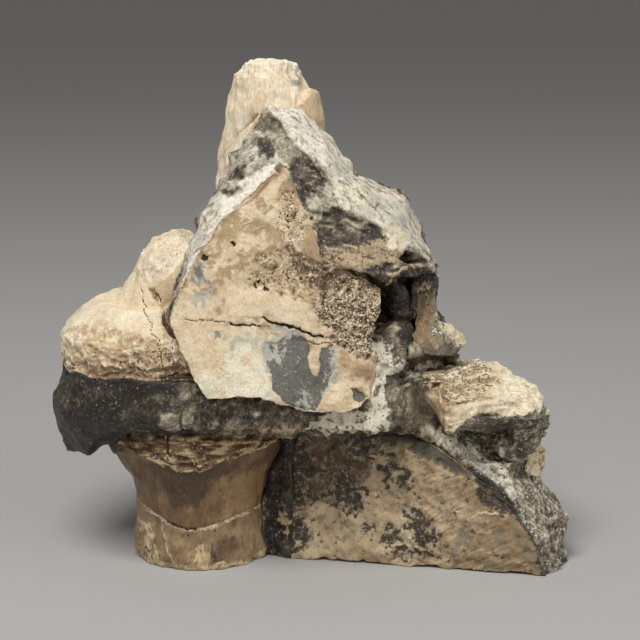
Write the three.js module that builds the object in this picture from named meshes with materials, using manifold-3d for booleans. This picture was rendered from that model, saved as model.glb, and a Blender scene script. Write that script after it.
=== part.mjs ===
// Ichthyosaur bone fossil block: two vertebrae stacked up the left side, a tall bone
// above them, a broad dished bone face in the middle and smaller bones at the right,
// all held in one piece of dark limestone.
// Millimetres, +Z up, front towards -Y. The block stands on z = 0, and the origin is
// the middle of its box on that surface.

import * as THREE from 'three';
import { ConvexGeometry } from 'three/addons/geometries/ConvexGeometry.js';
import { mergeVertices } from 'three/addons/utils/BufferGeometryUtils.js';
import Module from 'manifold-3d';

const wasm = await Module();
wasm.setup();

const GAP = 0.3;              // clearance between a bone and what it is bedded in
const SIDES = 30;             // corners of each ring of a spool
const LEAN = THREE.MathUtils.degToRad(31);  // lean of the upper vertebra's waist
const FLOOR = 0;              // the plane that the block rests on
const DISH_RADIUS = 105;      // ball that wears the shallow dish into the face bone
const DISH_CENTRE = [-10, -131, 112];

// ---------------------------------------------------------------- solids

// A closed BufferGeometry as a solid that can be joined and cut.
function solid(geometry) {
  geometry.deleteAttribute('normal');
  geometry.deleteAttribute('uv');
  const merged = mergeVertices(geometry, 1e-4);
  return new wasm.Manifold(new wasm.Mesh({
    numProp: 3,
    vertProperties: new Float32Array(merged.attributes.position.array),
    triVerts: new Uint32Array(merged.index.array),
  }));
}

// A faceted lump: the convex hull of its corners, each pushed out by grow.
function lump(corners, grow = 0) {
  const signs = grow ? [-grow, grow] : [0];
  const points = corners.flatMap(([x, y, z]) =>
    signs.flatMap((dx) => signs.flatMap((dy) => signs.map((dz) =>
      new THREE.Vector3(x + dx, y + dy, z + dz)))));
  return solid(new ConvexGeometry(points));
}

// A spool: oval rings, from the lowest to the highest, each { at, rx, ry, lean }.
// lean tips the ring about the Y axis, towards +X.
function spool(rings, grow = 0) {
  const positions = [];
  const faces = [];
  const ringPoint = (ring, angle, rise) => new THREE.Vector3(
    (ring.rx + grow) * Math.cos(angle), (ring.ry + grow) * Math.sin(angle), rise,
  ).applyAxisAngle(new THREE.Vector3(0, 1, 0), ring.lean ?? 0)
    .add(new THREE.Vector3(...ring.at));
  const last = rings.length - 1;
  rings.forEach((ring, level) => {
    const rise = level === 0 ? -grow : level === last ? grow : 0;
    for (let side = 0; side < SIDES; side += 1) {
      positions.push(...ringPoint(ring, (side / SIDES) * Math.PI * 2, rise));
    }
  });
  for (let level = 0; level < last; level += 1) {
    for (let side = 0; side < SIDES; side += 1) {
      const a = level * SIDES + side;
      const b = level * SIDES + ((side + 1) % SIDES);
      faces.push(a, b, b + SIDES, a, b + SIDES, a + SIDES);
    }
  }
  [0, last].forEach((level) => {
    const hub = positions.length / 3;
    const rise = level === 0 ? -grow : grow;
    positions.push(...new THREE.Vector3(0, 0, rise)
      .applyAxisAngle(new THREE.Vector3(0, 1, 0), rings[level].lean ?? 0)
      .add(new THREE.Vector3(...rings[level].at)));
    for (let side = 0; side < SIDES; side += 1) {
      const a = level * SIDES + side;
      const b = level * SIDES + ((side + 1) % SIDES);
      faces.push(...(level === 0 ? [b, a, hub] : [a, b, hub]));
    }
  });
  const geometry = new THREE.BufferGeometry();
  geometry.setAttribute('position', new THREE.Float32BufferAttribute(positions, 3));
  geometry.setIndex(faces);
  return solid(geometry);
}

const joined = (solids) => solids.reduce((whole, next) => whole.add(next));
const without = (whole, cutters) => cutters.reduce((rest, cutter) => rest.subtract(cutter), whole);

// ---------------------------------------------------------------- bones
// Each bone is a function of grow, so that the same bone, slightly larger, also cuts
// its own bed.

// Upright centrum at the lower left, standing on its end.
const lowerVertebra = (grow) => spool([
  { at: [-33, -6.5, FLOOR], rx: 19.5, ry: 20 },
  { at: [-33, -6.5, 3], rx: 20.3, ry: 20.7 },
  { at: [-33, -6.5, 8], rx: 19.8, ry: 20 },
  { at: [-33, -6.5, 16], rx: 19.2, ry: 19.4 },
  { at: [-33, -6.5, 23], rx: 20.6, ry: 20.4 },
  { at: [-34, -6, 29], rx: 23.6, ry: 22.6 },
  { at: [-34, -6, 34], rx: 26.2, ry: 24.6 },
  { at: [-34, -6, 40], rx: 26.6, ry: 25 },
  { at: [-34, -6, 43], rx: 25, ry: 23.6 },
], grow);

// Larger centrum above it: a broad level rim and a waist that leans to the right.
const upperVertebra = (grow) => joined([
  spool([
    { at: [-42.5, -4, 56.5], rx: 29.5, ry: 28 },
    { at: [-42.5, -4, 60], rx: 32, ry: 30.5 },
    { at: [-42.5, -4, 68], rx: 31.5, ry: 30 },
    { at: [-42, -4, 72.5], rx: 28.6, ry: 27 },
    { at: [-41.5, -4, 77.5], rx: 22, ry: 21.5 },
  ], grow),
  spool([
    { at: [-41, -4, 67.5], rx: 19.5, ry: 19, lean: LEAN },
    { at: [-36.5, -4, 75.5], rx: 18.4, ry: 18, lean: LEAN },
    { at: [-32.8, -4, 81.5], rx: 19.6, ry: 19, lean: LEAN },
    { at: [-30, -4, 86], rx: 18.2, ry: 18, lean: LEAN },
    { at: [-27.5, -3, 90.2], rx: 13.5, ry: 14, lean: LEAN },
  ], grow),
]);

// Tall fibrous bone that forms the top of the block.
const crownBone = (grow) => spool([
  { at: [-13, 9, 92], rx: 14, ry: 12 },
  { at: [-13.5, 9, 106], rx: 15.5, ry: 13 },
  { at: [-12, 8, 119], rx: 15.2, ry: 12.5 },
  { at: [-10.6, 7, 129], rx: 14.4, ry: 12 },
  { at: [-10.8, 6.5, 136], rx: 12.8, ry: 11 },
  { at: [-11.8, 6, 142], rx: 11.2, ry: 9.5 },
  { at: [-10.8, 6, 145.5], rx: 8, ry: 7 },
  { at: [-10.4, 6, 146.6], rx: 5, ry: 4.5 },
], grow);

// Broad bone face in the middle, leaning back, with a shallow dish worn into it.
const faceBone = (grow) => {
  const plate = joined([
    lump([
      [-7, -17, 118], [-14, -20, 112.5], [-19, -22, 108], [-25, -25, 102.5],
      [-30, -28.5, 95], [-35, -32, 87], [-38, -34, 81], [-39, -35, 77], [-37, -37, 71],
      [-34, -39.5, 64], [-31, -41.5, 60], [-29, -42, 55.5], [-13, -42, 56], [-2, -24, 99],
      [-2, -22, 107], [5, -30, 88], [0, -38, 60],
      [-6, -4, 114], [-28, -15, 92], [-34, -20, 78], [-29, -27, 60], [0, -12, 98],
    ], grow),
    lump([
      [-13, -42, 56], [-3, -40, 51.5], [10, -39, 51], [17, -36, 54], [17.5, -33.5, 64],
      [19, -31, 72], [20.5, -28.5, 79], [21, -27, 84], [6, -27.5, 92], [-2, -26, 96],
      [-14, -30, 90], [-24, -36, 74],
      [-10, -28, 56], [14, -25, 56], [17, -16, 82], [4, -15, 92],
    ], grow),
  ]);
  const dish = new THREE.IcosahedronGeometry(DISH_RADIUS, 9);
  dish.scale(0.9, 1, 1);
  dish.translate(...DISH_CENTRE);
  return plate.subtract(solid(dish));
};

// Flat mottled slab at the lower right, its upper edge falling to the right.
const slabBone = (grow) => lump([
  [-5, -16, FLOOR], [69, -31.5, FLOOR], [68, -31.5, 2], [66, -31.5, 9], [61, -30.5, 17.5],
  [56, -29, 23.5], [49, -26.5, 26], [44, -25, 30], [35, -22.5, 38], [23, -19.5, 41.5],
  [9, -17, 41.5], [-4, -14, 40],
  [-3, -6, FLOOR], [66, -21, FLOOR], [58, -19, 16], [47, -16, 24], [33, -12, 36], [-2, -5, 39],
], grow);

// Spongy bone at the right, with a rounded top and an overhanging front lip.
const sideBone = (grow) => lump([
  [30, -19, 55], [32, -9, 56.5], [43, -8, 57.5], [50, -7, 58.5], [58, -6, 56.5],
  [65, -5, 51.5], [69, -6, 47.5], [72, -9, 42.5], [72, -8, 39], [70, -4, 36.5],
  [36, -26, 51], [39, -27.5, 44.5], [46, -27.5, 45], [56, -27.5, 46], [64, -25, 45.5],
  [69, -20, 44.5], [44, -25, 53], [58, -24, 52.5], [66, -18, 49.5],
  [32, 12, 52], [48, 17, 53.5], [62, 13, 48], [69, 7, 40], [42, 14, 40], [60, 12, 38],
  [42, -20, 41],
], grow);

// Small bone between the matrix cap and the side bone, with a stained upper spur.
const nubBone = (grow) => joined([
  lump([
    [29.5, -14, 68], [31, -16, 63.5], [38, -17, 62.5], [44, -13, 61.5], [47, -8, 63.5],
    [45, -7, 66.5], [40, -8, 70.5], [36, -11, 71.5], [32, -13, 70.5],
    [33, 4, 69], [46, 3, 64], [40, 6, 61.5], [32, 2, 62],
  ], grow),
  lump([
    [31, -12, 70], [37, -11, 70], [38, -8, 74], [37, -6, 81], [33, -7, 83], [30.5, -9, 79],
    [31, 0, 80], [36, 0, 80], [33, 1, 66], [37, 1, 68],
  ], grow),
]);

// Small bone end at the right edge, under the side bone.
const toeBone = (grow) => lump([
  [63.5, -15, 27], [66, -14, 21.5], [69, -11, 22.5], [71.2, -8, 26], [71.5, -7, 31],
  [69, -9, 33.5], [64.5, -14, 32], [64, 4, 30], [70, 3, 30], [66, 3, 22],
], grow);

// ---------------------------------------------------------------- matrix

// The dark limestone, as it would be with no bones in it.
const limestone = () => joined([
  // foot of the block, under and behind the slab
  lump([
    [-15, -13, FLOOR], [-4, -12, FLOOR], [69, -31, FLOOR], [77, -18, FLOOR], [75, 6, FLOOR],
    [61, 25, FLOOR], [36, 36, FLOOR], [-4, 40, FLOOR], [-33, 28, FLOOR], [-41, 10, FLOOR],
    [76.5, -16, 6], [76, -16, 13.5], [72, -16, 20.5], [66, -30, 10], [61, -29, 18.5],
    [68, -12, 25], [57, -26, 25.5], [48, -22, 30], [35, -19, 41], [22, -17, 44], [-14, -10, 43],
    [72, 6, 14], [60, 16, 32], [47, 31, 34], [24, 42, 30], [-8, 41, 43], [-35, 31, 38],
    [-43, 14, 36], [12, 40, 45],
  ]),
  // smooth lobe between the two vertebrae
  lump([
    [-73, -8, 59], [-66, -24, 61], [-50, -34, 60], [-31, -36.5, 59], [-77, -6, 47],
    [-76.5, -8, 43], [-72, -22, 46], [-57, -33, 47], [-38, -37.5, 50], [-75, -7, 36],
    [-72, -6, 31.5], [-66, -8, 30], [-66, -16, 32], [-59, -23, 38], [-42, -29, 42],
    [-28, -30, 42], [-20, -34, 50], [-70, 12, 58], [-71, 12, 44], [-66, 12, 34],
    [-48, 24, 56], [-50, 25, 40], [-16, 10, 60], [-16, 10, 40],
  ]),
  // dark band that carries the face bone
  lump([
    [-38, -32, 60], [-31, -38, 54], [-31, -36, 46], [-14, -37, 46.5], [2, -37, 45],
    [16, -35, 44.5], [24, -33, 46], [27, -32, 52], [26, -31, 62], [18, -32, 66],
    [-30, -16, 42], [0, -20, 40], [24, -18, 40], [-20, 10, 44], [26, 10, 44],
    [-20, 10, 80], [24, 8, 78], [-32, -28, 66],
  ]),
  // squared corner under the side bone
  lump([
    [21, -31, 57], [35, -29.5, 57], [37, -28.5, 47], [35, -25, 41], [23, -27, 42],
    [20, -31.5, 47], [24, -4, 58], [40, -4, 57], [40, -4, 40], [22, -4, 40],
  ]),
  // ledge that the side bone lies on
  lump([
    [56, -21, 43], [68, -19, 44], [71.5, -12, 43], [72, -8, 40], [70, -5, 35.5],
    [64, -15, 33], [56, -18, 33], [40, -16, 42], [40, -12, 30], [62, 14, 42], [69, 8, 38],
    [67, 9, 26], [44, 16, 30], [44, 16, 44], [60, -6, 22],
  ]),
  // sill between the nub and the side bone
  lump([
    [24, -23, 57], [24, -21, 63], [30, -18, 63.5], [40, -14, 62], [45, -9, 60.5],
    [44, -8, 58], [36, -14, 57.5], [24, -4, 64], [40, -2, 62], [24, -4, 56],
  ]),
  // back of the block
  lump([
    [-46, 18, 44], [-34, 32, 42], [-8, 40, 48], [28, 38, 44], [50, 24, 42], [40, -6, 44],
    [-40, 22, 74], [-29, 29, 72], [-2, 37, 76], [24, 30, 84], [40, 16, 66], [40, -5, 70],
    [-30, 19, 100], [-10, 25, 104], [12, 21, 107], [26, 8, 98], [-24, 6, 106],
  ]),
  // cap: a ridge from the apex down to the right, steep below and gentler behind
  lump([
    [-12, -8, 133.5], [-4, -7, 133], [2, -5, 129.8], [6, -3, 125.5], [9.5, -2, 119.5],
    [12, -2, 115.5], [17, -6, 108], [12, -4, 100],
    [-8, -12, 131], [-4, -15, 125], [-1, -17.5, 120], [4, -20, 116.5], [8, -20, 114],
    [-9, -17, 119], [-4, -20, 112], [-2, -23, 104], [6, -24, 96], [14, -18, 96],
    [0, 14, 118], [12, 12, 108], [-20, 8, 116], [-2, 0, 96],
  ]),
  lump([
    [8, -20, 115], [13, -10, 114.5], [16, -2, 113], [20, -1, 111.5], [25, -1, 108.5],
    [28, -2, 106.5], [30, -2, 102], [34, -2, 94], [37, -2, 88], [39, -2, 82], [38.5, -2, 77],
    [37.5, -2, 71], [15, -20.5, 110.5], [20, -20, 106], [26, -18, 100], [31, -16, 93.5],
    [35, -13, 88.5], [3, -21.5, 112], [2, -25, 98], [6, -26, 93], [14, -26, 89.5],
    [21, -25, 87], [27, -21, 85.5], [10, 14, 108], [20, 16, 104], [32, 12, 92],
    [36, 12, 74], [20, -2, 72], [28, -14, 84],
  ]),
  // grey facet between the crown, the upper vertebra and the face bone
  lump([
    [-12, -8, 133.5], [-14, -3, 132], [-21, -3, 121], [-29, -3.5, 106], [-31.5, -14, 102],
    [-34.5, -19, 94], [-38, -23, 86], [-41.5, -26.5, 77], [-9, -14, 126],
    [-9, -18, 119], [-15, -20, 112], [-20, -22, 107], [-26, -25, 101.5], [-31, -28.5, 94],
    [-36, -31.5, 86], [-39.5, -33.5, 78], [-10, -4, 110], [-24, -8, 84], [-30, -24, 72],
    [-36, -30, 68],
  ]),
]);

// Open hollow at the right, between the cap and the nub.
const hollow = () => lump([
  [24, -40, 88], [39, -40, 86], [41, -12, 84], [36, -8, 86], [26, -10, 86],
  [22, -40, 70], [28, -40, 65], [40, -40, 66], [26, -12, 70], [31, -10, 66], [40, -9, 66],
]);

// Undercut below the side bone's front lip.
const undercut = () => lump([
  [41, -40, 43], [46, -40, 46], [61, -40, 45], [66, -40, 40], [44, -14, 42], [58, -15, 43],
  [47, -40, 33], [60, -40, 30], [50, -16, 34], [60, -18, 35],
]);

// ---------------------------------------------------------------- assembly

const face = faceBone(0);
const upper = upperVertebra(0).subtract(faceBone(GAP));
const crown = crownBone(0).subtract(upperVertebra(GAP));
const bones = [faceBone, upperVertebra, crownBone, lowerVertebra, slabBone, sideBone, nubBone,
  toeBone];
const matrix = without(limestone(), [hollow(), undercut(), ...bones.map((bone) => bone(GAP))]);

const SPONGE_TAN = { color: 0xc9a97a, roughness: 0.9 };
const SMOOTH_BROWN = { color: 0x7a6347, roughness: 0.5 };
const BEIGE = { color: 0xc2a880, roughness: 0.7 };
const MOTTLED_TAN = { color: 0xa08261, roughness: 0.8 };
const DARK_LIMESTONE = { color: 0x35332f, roughness: 0.65 };

const pieces = [
  ['matrix', matrix, DARK_LIMESTONE],
  ['lower_vertebra', lowerVertebra(0), SMOOTH_BROWN],
  ['upper_vertebra', upper, SPONGE_TAN],
  ['crown_bone', crown, SPONGE_TAN],
  ['face_bone', face, BEIGE],
  ['slab_bone', slabBone(0), MOTTLED_TAN],
  ['side_bone', sideBone(0), SPONGE_TAN],
  ['nub_bone', nubBone(0), SPONGE_TAN],
  ['toe_bone', toeBone(0), SPONGE_TAN],
];

const group = new THREE.Group();
for (const [name, body, look] of pieces) {
  const { vertProperties, triVerts } = body.getMesh();
  const geometry = new THREE.BufferGeometry();
  geometry.setAttribute('position', new THREE.BufferAttribute(vertProperties, 3));
  geometry.setIndex(new THREE.BufferAttribute(triVerts, 1));
  geometry.computeVertexNormals();
  const material = new THREE.MeshStandardMaterial({ ...look, metalness: 0, flatShading: true });
  const mesh = new THREE.Mesh(geometry, material);
  mesh.name = name;
  group.add(mesh);
}

export default group;
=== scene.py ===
"""Ichthyosaur bone fossil block: the finish of every piece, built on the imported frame."""

import itertools
import math

import bmesh
import bpy
import numpy as np
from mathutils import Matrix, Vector
from mathutils.bvhtree import BVHTree


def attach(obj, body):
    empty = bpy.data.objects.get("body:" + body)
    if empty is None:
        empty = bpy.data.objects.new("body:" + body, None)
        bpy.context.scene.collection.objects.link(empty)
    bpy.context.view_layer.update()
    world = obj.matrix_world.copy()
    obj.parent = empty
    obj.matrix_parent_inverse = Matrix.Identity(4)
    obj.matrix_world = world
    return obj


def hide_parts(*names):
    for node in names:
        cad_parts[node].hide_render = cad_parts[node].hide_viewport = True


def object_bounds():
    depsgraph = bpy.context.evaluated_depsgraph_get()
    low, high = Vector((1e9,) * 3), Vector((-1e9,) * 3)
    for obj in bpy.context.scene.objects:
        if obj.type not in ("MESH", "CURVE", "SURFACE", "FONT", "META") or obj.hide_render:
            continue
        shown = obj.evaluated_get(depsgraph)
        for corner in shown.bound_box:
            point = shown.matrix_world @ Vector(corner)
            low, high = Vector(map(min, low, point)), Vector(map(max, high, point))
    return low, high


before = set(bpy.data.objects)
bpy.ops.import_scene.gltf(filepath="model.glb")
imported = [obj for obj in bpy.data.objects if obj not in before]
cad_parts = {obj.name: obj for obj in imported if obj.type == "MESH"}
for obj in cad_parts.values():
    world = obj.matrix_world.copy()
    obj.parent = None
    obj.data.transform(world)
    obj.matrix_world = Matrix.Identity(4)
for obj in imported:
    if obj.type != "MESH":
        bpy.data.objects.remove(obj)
cad_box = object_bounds()
MM = 0.001

# -- Camera, floor and light -------------------------------------------------------
# The block stands on a plain pale paper floor, seen from the front and a little above.
# One large soft lamp hangs high in front of it, and a weak one fills from the right.

VIEW_DOWN = math.radians(12)
VIEW_DISTANCE = 0.5
VIEW_TARGET = Vector((0.003, 0, 0.0695))
LENS_MM = 93.75
FURTHEST_SEEN = 50
FLOOR_RADIUS = 20
FLOOR_DROP = 0.0001

camera = bpy.data.objects.new("camera", bpy.data.cameras.new("camera"))
camera.data.lens = LENS_MM
camera.data.clip_end = FURTHEST_SEEN
camera.rotation_euler = (math.pi / 2 - VIEW_DOWN, 0, 0)
camera.location = VIEW_TARGET + VIEW_DISTANCE * Vector(
    (0, -math.cos(VIEW_DOWN), math.sin(VIEW_DOWN))
)
bpy.context.scene.collection.objects.link(camera)
bpy.context.scene.camera = camera
bpy.context.scene.view_settings.view_transform = "Standard"


def linear(hex_colour):
    """A linear colour with alpha from an sRGB hex value such as "#c8a060"."""
    parts = [int(hex_colour[i : i + 2], 16) / 255 for i in (1, 3, 5)]
    return [p / 12.92 if p <= 0.04045 else ((p + 0.055) / 1.055) ** 2.4 for p in parts] + [1]


LAMPS = [  # name, place in metres, side in metres, watts
    ("key", (-0.2, -0.5, 0.95), 0.5, 9),
    ("fill", (0.9, -0.6, 0.5), 0.8, 3.5),
]
for name, place, side, watts in LAMPS:
    lamp = bpy.data.objects.new(name, bpy.data.lights.new(name, "AREA"))
    lamp.data.size = side
    lamp.data.energy = watts
    lamp.location = place
    lamp.rotation_euler = (lamp.location - VIEW_TARGET).to_track_quat("Z", "Y").to_euler()
    bpy.context.scene.collection.objects.link(lamp)

world = bpy.data.worlds.new("studio")
world.use_nodes = True
world.node_tree.nodes["Background"].inputs["Color"].default_value = linear("#dcdbd9")
world.node_tree.nodes["Background"].inputs["Strength"].default_value = 0.3
bpy.context.scene.world = world

floor_shape = bmesh.new()
bmesh.ops.create_circle(floor_shape, cap_ends=True, segments=64, radius=FLOOR_RADIUS)
floor = bpy.data.objects.new("floor", bpy.data.meshes.new("floor"))
floor_shape.to_mesh(floor.data)
floor_shape.free()
floor.location.z = -FLOOR_DROP
bpy.context.scene.collection.objects.link(floor)
paper = bpy.data.materials.new("matt_paper")
paper.use_nodes = True
paper.node_tree.nodes["Principled BSDF"].inputs["Base Color"].default_value = linear("#b4b2af")
paper.node_tree.nodes["Principled BSDF"].inputs["Roughness"].default_value = 0.9
floor.data.materials.append(paper)

# -- Matrix ------------------------------------------------------------------------
# Dark fine-grained limestone that set round the bones. It is broken, not cut: sharp
# ridges and shallow scoops, pale where it is bruised or weathered, near black where
# fresh, with seams of white calcite beside the bone face.

GRAIN_CELLS = 64
GRAIN = np.random.default_rng(11).uniform(-1, 1, (GRAIN_CELLS, GRAIN_CELLS, GRAIN_CELLS, 3))
ASKEW = np.array([[2, -1, 2], [2, 2, -1], [-1, 2, 2]]) / 3  # turns the noise off the axes
BEDDED_MM = 0.75  # nearer than this to a neighbour, a face is bedded in it
FURTHEST_GAP_MM = 3
CLEARANCE_MM = 0.3  # what the solids leave round a bedded bone; bedded faces grow to fill it
MOST_TRIANGLES = 190000


def apply_modifiers(piece):
    """Replaces the piece's mesh by the mesh that its modifiers make."""
    depsgraph = bpy.context.evaluated_depsgraph_get()
    made = bpy.data.meshes.new_from_object(piece.evaluated_get(depsgraph))
    piece.modifiers.clear()
    piece.data = made


def noise(places, size, seed=0):
    """Smooth noise from -1 to 1 whose lumps are about size mm across."""
    at = places @ ASKEW / size + 7.3 * seed
    base = np.floor(at).astype(int)
    part = at - base
    fade = part * part * (3 - 2 * part)
    total = np.zeros(len(places))
    for corner in itertools.product((0, 1), repeat=3):
        grain = GRAIN[tuple(((base + corner) % GRAIN_CELLS).T)]
        weight = np.prod(np.where(corner, fade, 1 - fade), axis=1)
        total += weight * np.einsum("ij,ij->i", grain, part - corner)
    return total * 1.6


def rough_noise(places, size, octaves, seed=0):
    """Noise with finer and fainter noise added to it."""
    return sum(noise(places, size / 2**k, seed + k) / 2**k for k in range(octaves))


def fractured(places, size, seed=0):
    """Broken stone: leaning scoops of about size mm that meet in sharp crests."""
    at = places / size + 3.7 * seed
    at += 0.2 * np.c_[noise(at, 1, 1), noise(at, 1, 2), noise(at, 1, 3)]
    base = np.floor(at).astype(int)
    part = at - base
    lowest = np.full(len(places), 9.0)
    for step in itertools.product((-1, 0, 1), repeat=3):
        grain = GRAIN[tuple(((base + step) % GRAIN_CELLS).T)]
        away = part - np.array(step) - 0.5 - 0.45 * grain
        scoop = np.einsum("ij,ij->i", away, away + 0.8 * grain[:, [2, 0, 1]]) + 0.3 * grain[:, 1]
        lowest = np.minimum(lowest, scoop)
    return 2 * lowest - 0.17


def ramp(values, low, high):
    """0 below low, 1 above high, and smooth between."""
    t = np.clip((values - low) / (high - low), 0, 1)
    return t * t * (3 - 2 * t)


def blank(node_name, piece_name, voxel_mm):
    """A fine closed mesh of one CAD node's shape, ready to be carved."""
    piece = bpy.data.objects.new(piece_name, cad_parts[node_name].data.copy())
    bpy.context.scene.collection.objects.link(piece)
    shape = bmesh.new()
    shape.from_mesh(piece.data)
    bmesh.ops.remove_doubles(shape, verts=shape.verts, dist=1e-6)
    shape.to_mesh(piece.data)
    shape.free()
    piece.data.materials.clear()
    remesh = piece.modifiers.new("remesh", "REMESH")
    remesh.mode = "VOXEL"
    remesh.voxel_size = voxel_mm * MM
    apply_modifiers(piece)
    return piece


def points_of(piece):
    """The piece's points in mm, and its unit normals."""
    mesh = piece.data
    places = np.empty(len(mesh.vertices) * 3)
    mesh.vertices.foreach_get("co", places)
    normals = np.empty(len(mesh.vertices) * 3)
    mesh.vertex_normals.foreach_get("vector", normals)
    return places.reshape(-1, 3) / MM, normals.reshape(-1, 3)


def move_points(piece, places):
    """Moves the piece's points, no further than the block's own box."""
    low, high = (np.array(corner) for corner in cad_box)
    inside = np.clip(places * MM, low, high)
    piece.data.vertices.foreach_set("co", inside.ravel())
    piece.data.update()


def push_out(piece, places, normals, height):
    """Moves each point along its normal by a height in mm."""
    move_points(piece, places + normals * height[:, None])


def gap_to(places, node_names):
    """Distance in mm from each point to the nearest face of these CAD nodes, up to a limit."""
    shell = bmesh.new()
    for name in node_names:
        shell.from_mesh(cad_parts[name].data)
    tree = BVHTree.FromBMesh(shell)
    shell.free()
    limit = FURTHEST_GAP_MM * MM
    return np.array([(tree.find_nearest(p, limit)[3] or limit) for p in places * MM]) / MM


def weathered(places):
    """The same slow wandering for every piece, so that all edges waver and still fit."""
    wander = np.c_[
        [rough_noise(places, 9, 2, seed) + 0.25 * noise(places, 2.6, seed + 3) for seed in (20, 30, 40)]
    ].T
    return places + 0.75 * wander


def rough_out(node_name, piece_name, voxel_mm, neighbours):
    """The blank of a piece with wavering edges, its points and normals, how far each point
    is from a neighbour, and whether it is bedded in one, out of sight."""
    piece = blank(node_name, piece_name, voxel_mm)
    places, normals = points_of(piece)
    gap = gap_to(places, neighbours)
    move_points(piece, weathered(places))
    places, normals = points_of(piece)
    return piece, places, normals, gap, gap < BEDDED_MM


def averaged(piece, values, rounds):
    """Values at the points, each averaged with its neighbours' a few times."""
    edges = np.empty(len(piece.data.edges) * 2, int)
    piece.data.edges.foreach_get("vertices", edges)
    a, b = edges.reshape(-1, 2).T
    count = np.bincount(np.r_[a, b], minlength=len(values))
    for _ in range(rounds):
        columns = [
            np.bincount(np.r_[a, b], weights=np.r_[v[b], v[a]], minlength=len(values)) / count
            for v in np.atleast_2d(values.T)
        ]
        values = 0.4 * values + 0.6 * np.array(columns).T.reshape(values.shape)
    return values


def to_line(flat, line):
    """Distance in mm from flat points to a line through the given points."""
    best = np.full(len(flat), 1e9)
    for a, b in zip(np.array(line[:-1], float), np.array(line[1:], float)):
        along = np.clip((flat - a) @ (b - a) / max((b - a) @ (b - a), 1e-9), 0, 1)
        best = np.minimum(best, np.linalg.norm(flat - a - along[:, None] * (b - a), axis=1))
    return best


def patch(flat, outline, soft=0.6):
    """1 inside a closed outline, 0 outside it, with a soft border in mm."""
    corners = np.array(outline, float)
    within = np.zeros(len(flat), bool)
    for (ax, ay), (bx, by) in zip(corners, np.roll(corners, -1, axis=0)):
        crosses = (ay > flat[:, 1]) != (by > flat[:, 1])
        rise = by - ay if by != ay else 1e-9
        within ^= crosses & (flat[:, 0] < (bx - ax) * (flat[:, 1] - ay) / rise + ax)
    gap = to_line(flat, [*outline, outline[0]])
    return ramp(np.where(within, gap, -gap), -soft, soft)


def patches(flat, outlines, soft):
    """1 inside any of these outlines."""
    return np.max([patch(flat, outline, soft) for outline in outlines], axis=0)


def strokes(flat, lines, half_width, low, high):
    """1 on any of these lines, with a border that runs from low to high mm."""
    return np.max([ramp(half_width - to_line(flat, line), low, high) for line in lines], axis=0)


def front_of(places, raggedness, size=2.5, seed=50):
    """The points' x and z in mm, wandering a little, so that drawn borders look broken."""
    shift = [rough_noise(places, size, 3, seed), rough_noise(places, size, 3, seed + 7)]
    return places[:, [0, 2]] + raggedness * np.array(shift).T


def keep_masks(piece, masks):
    """Keeps values at the points as attributes that the material reads by name."""
    for name, values in masks.items():
        layer = piece.data.attributes.new(name, "FLOAT", "POINT")
        layer.data.foreach_set("value", np.clip(values, -1, 2).astype(np.float32))


def standing_out(piece, rounds=3):
    """How far each point stands out from its surroundings, in mm: ridges above 0."""
    places, normals = points_of(piece)
    return np.einsum("ij,ij->i", places - averaged(piece, places, rounds), normals)


def thin_out(piece, most, hidden):
    """Brings the piece under a number of triangles, the front of it last."""
    spare = hidden | (points_of(piece)[1][:, 1] > 0.3)
    piece.vertex_groups.new(name="spare").add(np.flatnonzero(spare).tolist(), 1.0, "REPLACE")
    for group in ("spare", ""):
        triangles = sum(len(face.vertices) - 2 for face in piece.data.polygons)
        if triangles > most:
            decimate = piece.modifiers.new("thin", "DECIMATE")
            decimate.ratio = most / triangles
            decimate.vertex_group = group
            decimate.vertex_group_factor = 0
            apply_modifiers(piece)
    for polygon in piece.data.polygons:
        polygon.use_smooth = True


def finish_piece(piece, node_name, material, hidden):
    """Thins the piece, gives it its material and puts it in its CAD node's place."""
    thin_out(piece, MOST_TRIANGLES, hidden)
    piece.data.materials.append(material)
    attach(piece, "root")
    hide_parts(node_name)


def add(tree, kind, settings=None, inputs=None):
    """Adds a node with its settings; an input is a value, or a socket to link from."""
    made = tree.nodes.new("ShaderNode" + kind)
    for key, value in (settings or {}).items():
        setattr(made, key, value)
    for key, value in (inputs or {}).items():
        if isinstance(value, bpy.types.NodeSocket):
            tree.links.new(value, made.inputs[key])
        else:
            made.inputs[key].default_value = value
    return made


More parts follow.
